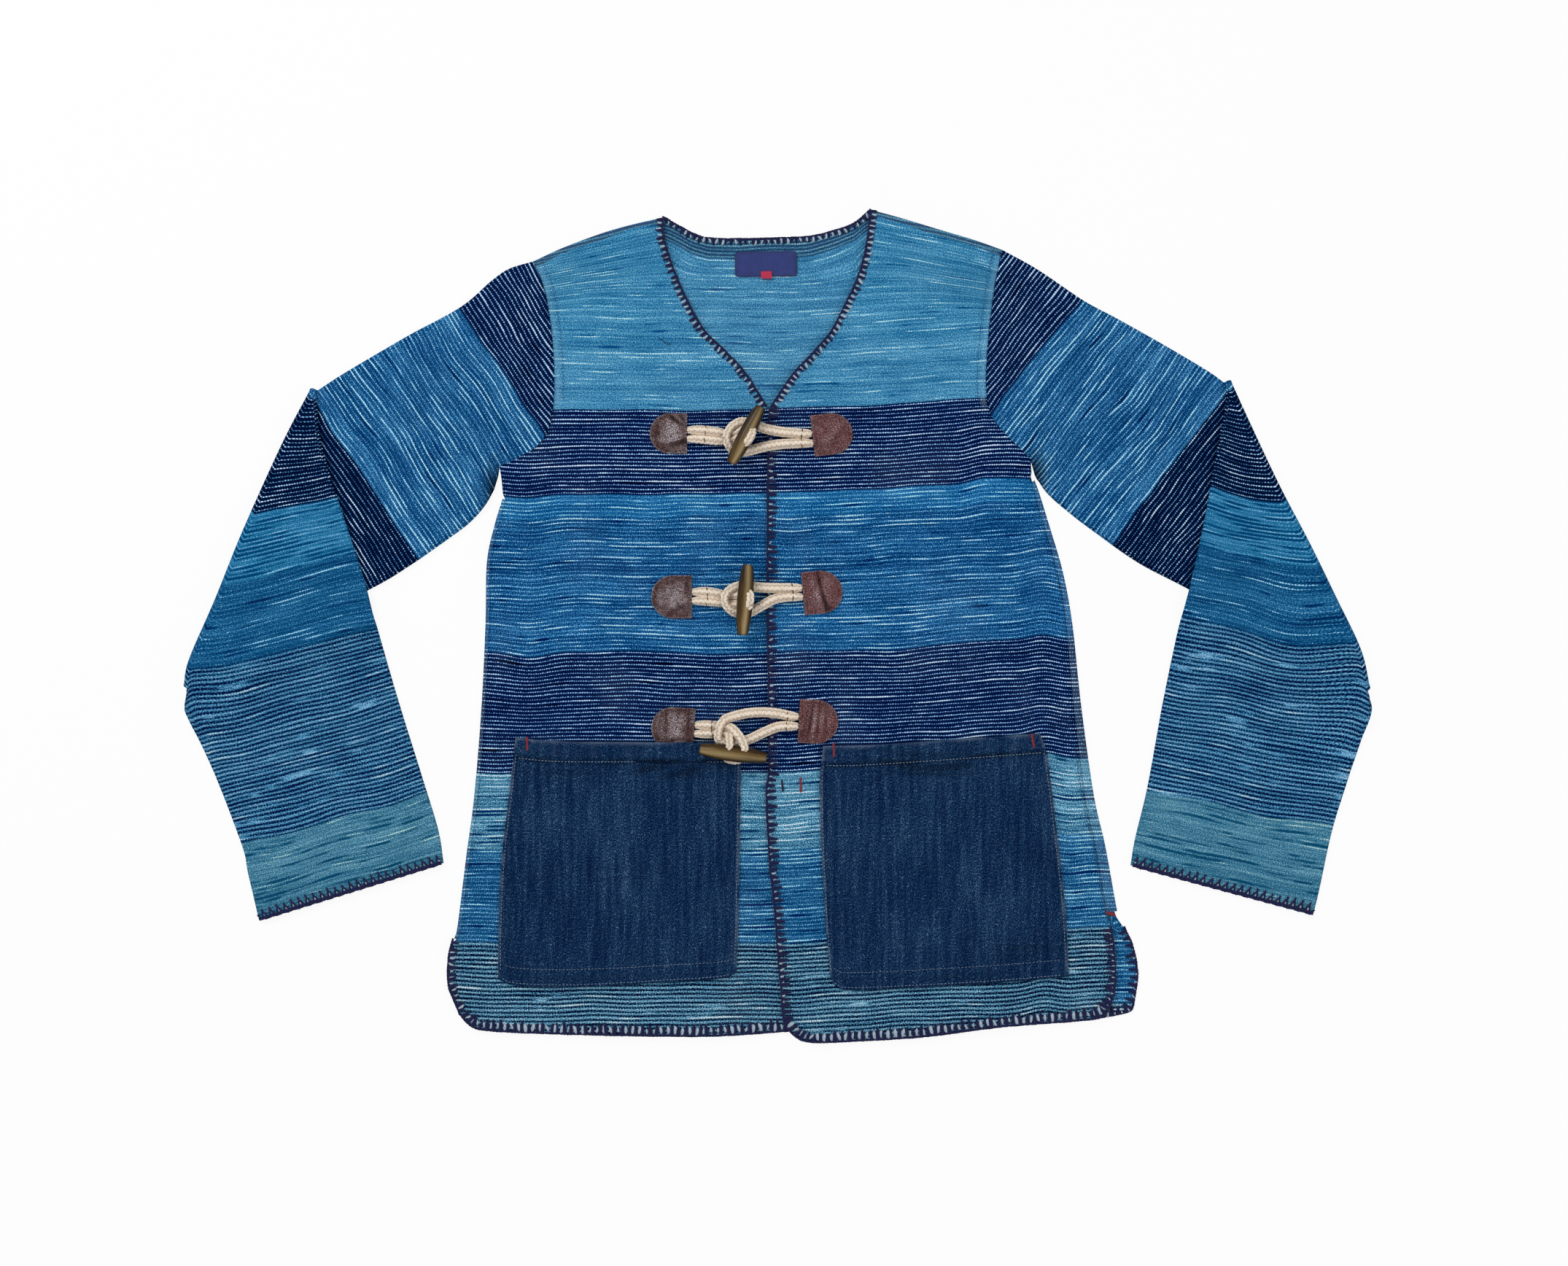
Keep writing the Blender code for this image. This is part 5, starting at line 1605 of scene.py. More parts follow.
@dataclass(frozen=True)
class Label:
    """A flat woven piece between four corners, softly rounded, and sunk where it is stitched down."""

    name: str
    corners: Points
    height: float
    tape: Tape
    replaced: str
    slot: str
    round: float = 0.06

    def build(self) -> Piece:
        """Builds the piece as one shell.

        Its grid is the blend of the corners, drawn in at each of them by the fourth powers of the distances.

        Returns:
            The piece.
        """
        s = np.linspace(-1, 1, 41)[None, :] * np.ones((25, 1))
        t = np.linspace(-1, 1, 25)[:, None] * np.ones((1, 41))
        corner = self.round * (s**2 * t**2) ** 4
        u, v = (s * (1 - corner * 0.6) + 1) / 2, (t * (1 - corner) + 1) / 2
        a, b, c, d = (np.asarray(point, float) for point in self.corners)
        u, v = u[..., None], v[..., None]
        plan = (1 - v) * ((1 - u) * a + u * b) + v * ((1 - u) * d + u * c)
        rim = np.maximum(np.abs(s) ** 14, np.abs(t) ** 10)
        bulge = 0.35 * (1 - np.abs(s) ** 6) * (1 - np.abs(t) ** 4) + 0.12 * np.sin(s * 7 + t * 2)
        cloth = Patchwork()
        cloth.lay(np.dstack([plan, self.height + bulge * 0.6]), plan * MM, -0.8 * rim)
        return cloth.make(self.name, dyed(self.tape), thickness=0.7, turn=True)


LABELS = (
    Label("neck_label_tape", ((-33.6, 295.0), (15.2, 296.0), (15.6, 275.9), (-33.4, 275.2)), 2.5,
          Tape("label_tape", "18285C", "4856A6"), "neck_label", "label_cloth"),
    Label("label_tab_tape", ((-13.2, 279.6), (-4.4, 279.7), (-4.2, 273.8), (-12.8, 273.8)), 3.7,
          Tape("tab_tape", "B41E44", "E24A6E"), "label_tab", "red_cloth"),
)


# ---------------- fastenings


@dataclass
class Patch:
    """A D of leather over the rope ends: its straight side's middle, size, tilt and which way it is round."""

    name: str
    side: Side
    x: float
    y: float
    width: float
    height: float
    tilt: float
    way: int
    leather: Leather
    creases: tuple[Crease, ...] = ()
    # How strong the painted sheen on the high middle is.
    sheen: float = 0.6
    thick: float = 1.9
    crown: float = 3.4
    gap: float = 0.3

    def plan(self, across: Array, along: Array) -> Array:
        """Plan points from places in the patch: in from its straight side, and along it.

        Args:
            across: How far in from the straight side.
            along: How far along it from its middle.

        Returns:
            The plan points.
        """
        c, s = math.cos(math.radians(self.tilt)), math.sin(math.radians(self.tilt))
        x = self.x + self.way * across * c - along * s
        return np.stack([x, self.y + self.way * across * s + along * c], axis=-1)

    def build(self) -> Piece:
        """Builds the patch as one closed form.

        A column of points stands at each step in from the straight side. The half-height is the radius,
        then the radius times the cosine of the angle round the D. The top rises from a rounded rim to its
        thickness, and over the rope ends by the crown.

        Returns:
            The piece.
        """
        radius = self.height / 2
        straight = np.linspace(0, self.width - radius, 22)
        angles = np.linspace(0, math.radians(87), 30)[1:]
        reach = np.concatenate([straight, self.width - radius + radius * np.sin(angles)])
        half = np.concatenate([np.full(22, radius), radius * np.cos(angles)])
        share = np.sin(np.linspace(-1, 1, 45) * math.pi / 2)
        across = reach[:, None] * np.ones(45)
        along = half[:, None] * share
        plan = self.plan(across, along)
        bend = np.hypot(np.clip(across - self.width + radius, 0, None), along)
        rim = np.minimum.reduce([across, radius - np.abs(along), self.width - across, radius - bend])
        rim = np.clip(rim, 0, None)
        crown = self.crown * (1 - smooth(0.1, 0.95, across / self.width))
        crown = crown * (1 - smooth(6.0, 10.8, np.abs(along)))
        rounded = np.sqrt(np.clip(1 - (1 - np.clip(rim / 1.1, 0, 1)) ** 2, 0, 1))
        stitched = -0.35 * bell(rim - 2.4, 0.7) * smooth(-0.2, 0.6, np.sin(along / 0.55))
        lumps = 0.22 * ripple(plan, 9, 71 + int(abs(self.y)))
        top = 0.35 + (self.thick - 0.35) * rounded + crown * smooth(0, 2.4, rim + 1.2)
        top = top + (stitched + lumps + relief(self.creases, plan)) * smooth(0, 1.5, rim)
        base = front_height(self.side, plan) + CLOTH / 2 + self.gap
        # Painted sheen on the high middle; painted shade in a band inside the stitched rim; a pale raw edge;
        # painted shade in the creases and painted highlights on their ridges.
        sheen_mask = bell(across - self.width * 0.42, self.width * 0.3) * bell(along, radius * 0.62)
        patchy = 0.75 + 0.4 * ripple(plan, 12, 75 + int(abs(self.y)))
        wear_and_shade = 1.3 * self.sheen * sheen_mask * patchy - 0.22 * bell(rim - 2.6, 1.6)
        wear_and_shade = wear_and_shade + 0.55 * bell(rim, 0.8) + np.clip(relief(self.creases, plan), -1, 0.7) * 1.2
        cloth = Patchwork()
        cloth.lay(np.dstack([plan, base + np.maximum(top, 0.3)]), plan * MM, wear_and_shade)
        rows, columns = plan.shape[:2]
        # The underside carries painted shade.
        cloth.add(np.dstack([plan, base]), quads(numbered(rows, columns))[:, ::-1], plan * MM, -0.3)
        low = numbered(rows, columns, rows * columns)
        high = numbered(rows, columns)
        rings = [np.concatenate([n[0, :-1], n[:-1, -1], n[-1, :0:-1], n[:0:-1, 0]]) for n in (high, low)]
        rings = np.stack([np.append(ring, ring[0]) for ring in rings])
        cloth.faces.append(quads(rings))
        return cloth.make(self.name + "_leather", dyed(self.leather), turn=True)


@dataclass
class Rope:
    """A braided rope along a smooth curve: strands that wind both ways, over and under each other."""

    name: str
    route: Array
    radius: float = 3.5
    lay: float = 15.0
    strands: int = 8
    step: float = 1.0

    def frames(self, line: Array) -> tuple[Array, Array]:
        """Two directions square to the line at each point, carried along it without twisting.

        Args:
            line: The line's points.

        Returns:
            The two directions at each of them.
        """
        along = directions(line)
        first = np.empty_like(line)
        guide = np.array([0.0, 0.0, 1.0])
        for k, direction in enumerate(along):
            guide = unit(guide - (guide @ direction) * direction)
            first[k] = guide
        return first, np.cross(along, first)

    def build(self, finish: Finish) -> Piece:
        """Builds the rope as one mesh.

        A strand's angle is its start plus or minus a whole turn for each lay, and its distance out from
        the middle swings twice as often as it meets the others, up where it passes over and down under.

        Args:
            finish: Its material.

        Returns:
            The piece.
        """
        length = length_of(through(self.route, np.linspace(0, 1, 400))[:, :3])
        line = through(self.route, np.linspace(0, 1, int(length / self.step)))
        middle, radius = line[:, :3], line[:, 3] * self.radius
        first, second = self.frames(middle)
        run = fractions(middle) * length
        which = np.arange(self.strands)
        way = np.where(which % 2 == 0, 1.0, -1.0)[:, None]
        turns = way * run[None] / self.lay * 2 * math.pi
        phase = turns + (which // 2)[:, None] * (2 * math.pi / (self.strands / 2)) + (way < 0) * 0.4
        swing = way * np.cos(run[None] / self.lay * 2 * math.pi * self.strands / 2 + math.pi / 4)
        out = radius[None] * (0.66 + 0.13 * swing)
        ways = np.cos(phase)[..., None] * first + np.sin(phase)[..., None] * second
        paths = middle + out[..., None] * ways
        # Painted shade where a strand dips under another, and a faint painted highlight where it passes over.
        shade = np.clip(-0.2 + 0.5 * swing, -0.7, 0.1)
        size = radius * 0.44 * np.ones_like(swing)
        cloth = Patchwork()
        tubes(cloth, paths, size, across=(paths - middle)[:, 0], wear_and_shade=shade)
        upright = np.array([[0.02, 0.03, 1.0]])
        # A core in painted shade fills the gaps between the strands.
        tubes(cloth, middle[None], radius * 0.62, across=upright, sides=8, wear_and_shade=-0.6)
        return cloth.make(self.name + "_braid", finish)


@dataclass
class Toggle:
    """A turned spindle of horn: the ends of its axis in plan, its height and radius, and its rope's way."""

    number: int
    ends: tuple[float, float, float, float]
    height: float
    radius: float
    slope: float
    passage: Points
    end: float = 0.6

    def frame(self) -> tuple[Array, Array, Array]:
        """Its middle, the direction along its axis, and the one along the rope's way through it.

        Returns:
            The three of them.
        """
        x1, y1, x2, y2 = self.ends
        middle = np.array([(x1 + x2) / 2, (y1 + y2) / 2, self.height])
        axis = unit([x2 - x1, y2 - y1, 0])
        slope = math.radians(self.slope)
        way = np.array([axis[1] * math.cos(slope), -axis[0] * math.cos(slope), math.sin(slope)])
        return middle, axis, way

    def route(self, first: Points, second: Points) -> Array:
        """The rope's route: along one strand, up through the toggle, over its face, down and back.

        Args:
            first: The strand to the toggle: x, y, z and share of the radius.
            second: The strand back from it.

        Returns:
            The route's points.
        """
        middle, axis, way = self.frame()

        def through_it(passage: Points, sign: int) -> list[tuple[float, ...]]:
            """The rope's way through the toggle, on one side of its middle."""
            return [(*(middle + axis * run * sign + way * depth), share) for run, depth, share in passage]

        return np.vstack([first, through_it(self.passage, 1), through_it(CLOSE, -1)[-2::-1], second[::-1]])

    def build(self, finish: Finish) -> Piece:
        """Builds the toggle as a turned surface.

        The radius is the greatest one times an end share plus the rest times (1 less the square of the
        place along it) to the 0.8, and both ends are rounded over and closed to a point.

        Args:
            finish: Its material.

        Returns:
            The piece.
        """
        middle, axis, _ = self.frame()
        x1, y1, x2, y2 = self.ends
        half = math.hypot(x2 - x1, y2 - y1) / 2
        body = np.sin(np.linspace(-1, 1, 61) * math.pi / 2) * 0.985
        radii = self.radius * (self.end + (1 - self.end) * (1 - body**2) ** 0.8)
        tip = np.array([0.96, 0.86, 0.6, 0.3, 0.001])
        along = np.concatenate([[-1.0, -1.0, -1.0, -0.999, -0.994], body, [0.994, 0.999, 1.0, 1.0, 1.0]])
        radii = np.concatenate([tip[::-1] * radii[0], radii, tip * radii[-1]])
        angles = np.linspace(0, 2 * math.pi, 40, endpoint=False)
        side = np.array([-axis[1], axis[0], 0])
        ring = np.cos(angles)[:, None] * side + np.sin(angles)[:, None] * np.array([0, 0, 1.0])
        points = middle + along[:, None, None] * half * axis + radii[:, None, None] * ring
        far = (along * half * MM + self.number)[:, None]
        where = np.stack(np.broadcast_arrays(far, angles / 6.2832), axis=-1)
        ends = smooth(0.93, 0.995, np.abs(along))[:, None] - 1.0 * (np.abs(along) > 0.9975)[:, None]
        numbers = numbered(*points.shape[:2])
        cloth = Patchwork()
        cloth.add(points, quads(np.column_stack([numbers, numbers[:, 0]])), where, ends * 0.6)
        return cloth.make(f"toggle_{self.number}_turned", finish, merge=0.05, turn=True)


# A rope's way through a toggle from its middle out: along the axis, outwards, and share of the radius.
CLOSE = ((3.5, -6.6, 0.82), (4.4, -2.4, 0.8), (5.6, 2.0, 0.8), (4.9, 5.2, 0.84), (0.0, 6.3, 0.88))
WIDE = ((8.3, -6.6, 0.82), (7.2, -2.4, 0.8), (6.0, 2.0, 0.8), *CLOSE[3:])
TOGGLES = (
    Toggle(1, (-36.0, 126.6, -13.0, 170.8), 19.2, 6.3, 49.0, CLOSE),
    Toggle(2, (-27.4, -7.6, -23.1, 47.6), 19.2, 6.4, 49.0, CLOSE),
    Toggle(3, (-60.8, -97.0, -8.2, -103.8), 16.4, 6.5, -34.0, WIDE),
)
# Each toggle's rope from its patch to the toggle, strand by strand: x, y, z and share of the radius.
STRANDS = (
    (
        ((-70.8, 153.9, 7.1, 0.66), (-65, 153.9, 7.6, 0.92), (-57, 153.4, 7.9, 1), (-48, 152.4, 7.9, 0.96),
         (-41, 151.2, 7.3, 0.8), (-36, 150.6, 7.4, 0.78), (-32.4, 151, 10.4, 0.8)),
        ((-70.8, 147.1, 7.1, 0.66), (-65, 147.1, 7.6, 0.92), (-57, 146.6, 7.9, 1), (-48, 145.6, 7.9, 0.96),
         (-41, 145.5, 7.3, 0.8), (-37.5, 145.6, 7.4, 0.78), (-34.2, 145.8, 10.4, 0.8)),
    ),
    (
        ((-67, 26.3, 7.1, 0.66), (-61, 26.5, 7.6, 0.92), (-54, 26.2, 7.9, 1), (-47, 25.2, 7.8, 0.92),
         (-41.5, 24.1, 7.3, 0.8), (-36, 23.6, 7.4, 0.78), (-32.2, 23.6, 10.4, 0.8)),
        ((-67, 19.3, 7.1, 0.66), (-61, 19.5, 7.6, 0.92), (-54, 19.2, 7.9, 1), (-47, 18.3, 7.8, 0.92),
         (-41.5, 17.6, 7.3, 0.8), (-36, 17, 7.4, 0.78), (-32.6, 16.8, 10.4, 0.8)),
    ),
    (
        ((-64.7, -78.6, 7.1, 0.66), (-59, -78.5, 7.6, 0.92), (-52, -78.8, 7.9, 0.96), (-46, -79.4, 7.2, 0.8),
         (-41, -79.8, 8.1, 0.8), (-36.5, -80.4, 12, 0.9), (-32, -84.4, 15.6, 0.95),
         (-28.2, -89.6, 17.4, 0.92)),
        ((-65.1, -85.4, 7.1, 0.66), (-59, -85.3, 7.6, 0.92), (-52, -85.4, 7.9, 0.96), (-46, -85.5, 7.2, 0.8),
         (-41.6, -85.4, 8, 0.8), (-38.2, -86, 11, 0.86), (-37.6, -88.4, 15, 0.88)),
    ),
)
# Each loop from end to end, in the same terms.
LOOPS = (
    ((26.9, 151.2, 8.9, 0.66), (21, 150.8, 9.8, 0.95), (4, 152.2, 9.9, 1), (-9, 154.6, 9.7, 1),
     (-19, 158.2, 9.3, 1), (-28.5, 159.8, 9.8, 1), (-36, 156, 12.6, 0.86), (-39.8, 149.4, 13.6, 0.84),
     (-38.8, 142.4, 12.6, 0.86), (-34, 137.6, 9.9, 0.96), (-24, 137.2, 9.1, 1), (-10, 140.6, 9.7, 1),
     (4, 142.6, 9.9, 1), (21, 143.4, 9.8, 0.95), (27.8, 143.2, 8.9, 0.66)),
    ((19.2, 29.4, 8.9, 0.66), (13, 29.4, 9.8, 0.95), (0, 29.4, 9.9, 1), (-13, 29.8, 9.7, 1),
     (-24, 31, 9.3, 1), (-32, 30.4, 10.2, 0.98), (-39, 26.6, 12.8, 0.86), (-41.6, 20.8, 13.6, 0.84),
     (-39.4, 14.6, 12.8, 0.86), (-32.5, 10, 10.2, 0.98), (-23, 10, 9.3, 1), (-14, 14.4, 9.7, 1),
     (-3, 20.4, 9.9, 1), (7, 22.5, 9.9, 1), (13, 22.6, 9.8, 0.95), (19.8, 22.3, 8.9, 0.66)),
    ((16.5, -71.8, 8.9, 0.66), (11, -71.4, 9.8, 0.95), (0, -69.2, 9.9, 1), (-11, -68.3, 9.6, 1),
     (-23, -69, 9, 1), (-33, -71.2, 9.2, 1), (-41.5, -73.9, 12.1, 0.9), (-45.4, -79.6, 13.4, 0.84),
     (-46.6, -85, 13.2, 0.84), (-45.8, -90.2, 11.9, 0.9), (-40.4, -92.6, 9.9, 0.96), (-33, -92.6, 9.8, 1),
     (-22, -89.6, 9.4, 1), (-11, -84.4, 9.5, 1), (0, -79.9, 9.9, 1), (10.4, -79.2, 9.8, 0.95),
     (16.1, -79.6, 8.9, 0.66)),
)
# After the grain: the share of random mottle, of painted glints and of painted shade between the pebbles.
BROWN = Leather("leather_brown", "643E3C", "A89598", 900.0, glint_share=0.6)
OXBLOOD = Leather("leather_oxblood", "7F4C4D", "A57F82", 720.0, 0.2, 0.4, 0.55)
PATCHES = (
    Patch("toggle_patch_1", Side.RIGHT, -71.2, 151.4, 29.6, 31.8, 0.0, -1, BROWN,
          creases(
              (-78, 143.6, 14, 17, 3.6, -1.1), (-80, 147.5, 18, 20, 5, 0.5), (-79, 160.5, -32, 14, 3, -0.9),
              (-75, 163, -60, 9, 2.4, -0.7), (-82, 163.5, -50, 10, 2.4, -0.6), (-95, 152, 84, 16, 3, -0.5),
              (-91, 142, -40, 14, 3, -0.4),
          ), 0.8),
    Patch("toggle_patch_2", Side.RIGHT, -67.4, 22.5, 32.3, 34.0, 0.0, -1, BROWN,
          creases(
              (-80, 12, 30, 20, 3, -0.6), (-84, 34, 24, 18, 3, -0.4), (-72, 32, 84, 10, 2.4, -0.6),
              (-96, 24, 80, 16, 3, -0.4), (-76, 14, -40, 12, 2.6, -0.5),
          ), 0.75),
    Patch("toggle_patch_3", Side.RIGHT, -65.4, -82.0, 34.2, 33.0, -3.0, -1, BROWN,
          creases(
              (-70, -76, 86, 20, 2.6, -0.8), (-78, -71, 76, 12, 2.4, -0.6), (-88, -78, 90, 22, 3, -0.4),
              (-94, -84, 80, 18, 2.6, -0.4), (-80, -90, 20, 18, 3, -0.4),
          ), 0.7),
    Patch("loop_patch_1", Side.LEFT, 27.6, 149.2, 32.0, 32.6, 6.8, 1, OXBLOOD,
          creases(
              (44, 143, 70, 20, 2.6, -0.35), (50, 152, 60, 16, 2.4, -0.35), (36, 156, -50, 14, 2.6, -0.3),
          ), 0.3),
    Patch("loop_patch_2", Side.LEFT, 20.0, 24.9, 31.5, 34.0, 5.0, 1, OXBLOOD,
          creases(
              (35.5, 25, 104, 36, 3, -1.3), (30.5, 25, 104, 30, 5, 0.4), (41, 14, 120, 18, 2.6, -0.6),
              (30, 31, 60, 12, 2.6, -0.4),
          ), 0.4),
    Patch("loop_patch_3", Side.LEFT, 16.8, -75.3, 31.3, 34.6, -3.0, 1, OXBLOOD,
          creases(
              (26, -75, 80, 30, 2.6, -0.9), (32, -76, 84, 32, 2.6, -0.8), (38, -76, 88, 28, 2.6, -0.6),
              (29, -76, 82, 30, 2.4, 0.4), (22, -78, 80, 26, 2.4, -0.5),
          ), 0.4),
)


# ---------------- sewing


def beside(line: Array, away: float) -> Array:
    """A plan line moved off itself, to the left of its direction where `away` is above zero."""
    return line + to_left(directions(line)) * away


@dataclass(frozen=True)
class Blanket:
    """Blanket stitches along an edge: a cord on the edge, and a tapered leg in from it at each stitch."""

    line: Array
    top: Height
    inward: float
    pitch: float
    leg: float
    base: float
    fleck: float
    tuft: float
    depth: float
    seed: int

    def add(self, yarn: Patchwork, pale: Patchwork) -> None:
        """Adds the stitches.

        A leg's radius falls from 1.12 to 0.8 times its base along a soft step, and it rides just proud of
        the cloth until its end dips in. A pale bead of cloth stands between two legs by the cord.

        Args:
            yarn: Takes the cord and the legs.
            pale: Takes the pale flecks between them.
        """
        draw = np.random.default_rng(self.seed)
        length = length_of(self.line)
        many = int(length / self.pitch)
        shares = (np.arange(many) + 0.5 + draw.uniform(-0.1, 0.1, many)) / many
        run = fractions(self.line)
        feet = at(shares, run, self.line)
        along = unit(at(shares, run, directions(self.line)))
        side = to_left(along) * self.inward
        t = np.linspace(0, 1, 7)[None, :, None]
        reach = (self.leg * draw.uniform(0.78, 1.12, many))[:, None, None]
        lean = draw.normal(0, 0.7, many)[:, None, None]
        plan = feet[:, None] + side[:, None] * (-0.5 + reach * t)
        plan = plan + along[:, None] * (lean * t + 0.5 * t * (1 - t))
        base = self.base * draw.uniform(0.8, 1.15, many)
        radii = base[:, None] * (1.12 - 0.32 * smooth(0.4, 1.0, t[..., 0]))
        height = self.top(plan) + 0.55 * radii * (1 - 1.6 * smooth(0.75, 1.0, t[..., 0]))
        tubes(yarn, np.dstack([plan, height]), radii, flat=0.75)
        fine = spaced(self.line, 1.3)
        turn = fractions(fine) * length / self.pitch * 2 * math.pi
        cord = beside(fine, self.inward * 0.1) + 0.15 * ripple(fine, 9, self.seed)[:, None]
        cord = np.column_stack([cord, self.top(fine) - 0.2 + 0.25 * np.sin(turn)])
        tubes(yarn, cord[None], (1.0 + 0.18 * np.sin(turn * 2 + 1))[None])
        keep = draw.uniform(0, 1, many - 1) < self.fleck
        between = ((feet[1:] + feet[:-1]) / 2)[keep]
        heading, normal = along[1:][keep], side[1:][keep]
        s = np.linspace(-1, 1, 5)[None, :, None]
        bow = draw.uniform(0.7, 1.4, len(between))[:, None, None]
        out = self.depth + draw.uniform(-0.4, 0.9, len(between))[:, None, None]
        swing = draw.normal(0, 0.6, len(between))[:, None, None]
        place = between[:, None] + normal[:, None] * (out + 2.0 * self.tuft * bow * s)
        place = place + heading[:, None] * (swing * s + 0.5 * (1 - s**2))
        size = self.tuft * np.sqrt(np.clip(1.1 - s[..., 0] ** 2, 0.05, 1)) * bow[..., 0]
        tubes(pale, np.dstack([place, self.top(place) + 0.4]), size, flat=0.8)


@dataclass(frozen=True)
class ZigZag:
    """A zig-zag of yarn along a cuff, with a cord on its edge and pale cloth in its cells."""

    line: Array
    top: Height
    inward: float
    seed: int
    pitch: float = 6.0
    reach: float = 7.8
    radius: float = 0.72

    def add(self, yarn: Patchwork, pale: Patchwork) -> None:
        """Adds the zig-zag: the distance in from the edge is a wave between a straight and a round one.

        Args:
            yarn: Takes the zig-zag and its cords.
            pale: Takes the flecks in its cells.
        """
        draw = np.random.default_rng(self.seed)
        length = length_of(self.line)
        many = int(length / self.pitch)
        steps = np.linspace(0, 1, many * 14 + 1)
        run = fractions(self.line)
        feet = at(steps, run, self.line)
        uneven = np.interp(steps * many, np.arange(many + 1), draw.uniform(0.82, 1.12, many + 1))
        wave = steps * many * 2 * math.pi
        swing = np.arcsin(0.9 * np.sin(wave)) / math.asin(0.9) * 0.5 + 0.5
        along = directions(feet)
        side = to_left(along) * self.inward
        lean = 0.9 * np.sin(wave + 0.6) + 0.5 * np.sin(wave * 2) * (swing > 0.5)
        plan = feet + side * (0.6 + self.reach * uneven * swing)[:, None] + along * lean[:, None]
        height = self.top(plan) + 0.5 + 0.2 * np.cos(wave)
        tubes(yarn, np.column_stack([plan, height])[None], self.radius)
        fine = spaced(self.line, 1.3)
        turn = fractions(fine) * length / self.pitch * 2 * math.pi
        for off, low, size in ((0.2, 0.0, 1.05), (1.4, 0.2, 0.9)):
            cord = beside(fine, self.inward * (off + 0.25 * np.sin(turn * 0.7)[:, None]))
            cord = np.column_stack([cord, self.top(fine) + low + 0.2 * np.sin(turn + off)])
            tubes(yarn, cord[None], (size + 0.18 * np.sin(turn * 2 + off))[None])
        cells = (np.arange(many) + 0.25) / many
        middle, inward = at(cells, run, self.line), at(cells, steps, side)
        s = np.linspace(-1, 1, 5)[None, :, None]
        out = draw.uniform(3.0, 3.8, many)[:, None, None]
        place = middle[:, None] + inward[:, None] * (out + 1.5 * s)
        size = 0.85 * np.sqrt(np.clip(1.1 - s[..., 0] ** 2, 0.05, 1)) * draw.uniform(0.7, 1.2, many)[:, None]
        tubes(pale, np.dstack([place, self.top(place) - 0.1]), size, flat=0.7)


def running(cloth: Patchwork, line: Array, top: Height, pitch: float, size: float, seed: int) -> None:
    """Adds a line of small stitches, each a low arch a little over half the pitch long.

    Args:
        cloth: The mesh that takes them.
        line: The line in plan.
        top: The cloth's top.
        pitch: From one stitch to the next.
        size: A stitch's radius.
        seed: Picks their lengths.
    """
    draw = np.random.default_rng(seed)
    length = length_of(line)
    many = int(length / pitch)
    middle = (np.arange(many) + 0.5) / many
    reach = 0.31 / many * draw.uniform(0.8, 1.15, many)
    shares = middle[:, None] + reach[:, None] * np.linspace(-1, 1, 5)
    plan = at(shares, fractions(line), line)
    arch = 1 - np.linspace(-1, 1, 5) ** 2
    height = top(plan) + size * (0.9 * arch - 0.3)
    tubes(cloth, np.dstack([plan, height]), size * (0.55 + 0.45 * arch), sides=4)


def bar(cloth: Patchwork, ends: Points, top: Height, rise: float, width: float, seed: int) -> None:
    """Adds a dense bar of thread between two plan points: a tight zig-zag, a rise above the top.

    Args:
        cloth: The mesh that takes it.
        ends: Its two ends in plan.
        top: The cloth's top.
        rise: How far it lies above the top.
        width: Its width.
        seed: Picks its swings.
    """
    draw = np.random.default_rng(seed)
    start, end = np.asarray(ends, float)
    length = float(np.linalg.norm(end - start))
    turns = int(length)
    t = np.linspace(0, 1, turns * 4 + 1)
    along = (end - start) / length
    side = np.array([-along[1], along[0]])
    swing = np.sin(t * turns * 2 * math.pi) * width / 2 * draw.uniform(0.85, 1.1, len(t))
    plan = start + (end - start) * t[:, None] + side * swing[:, None]
    tubes(cloth, np.column_stack([plan, top(plan) + rise + 0.3])[None], 0.42, sides=4)


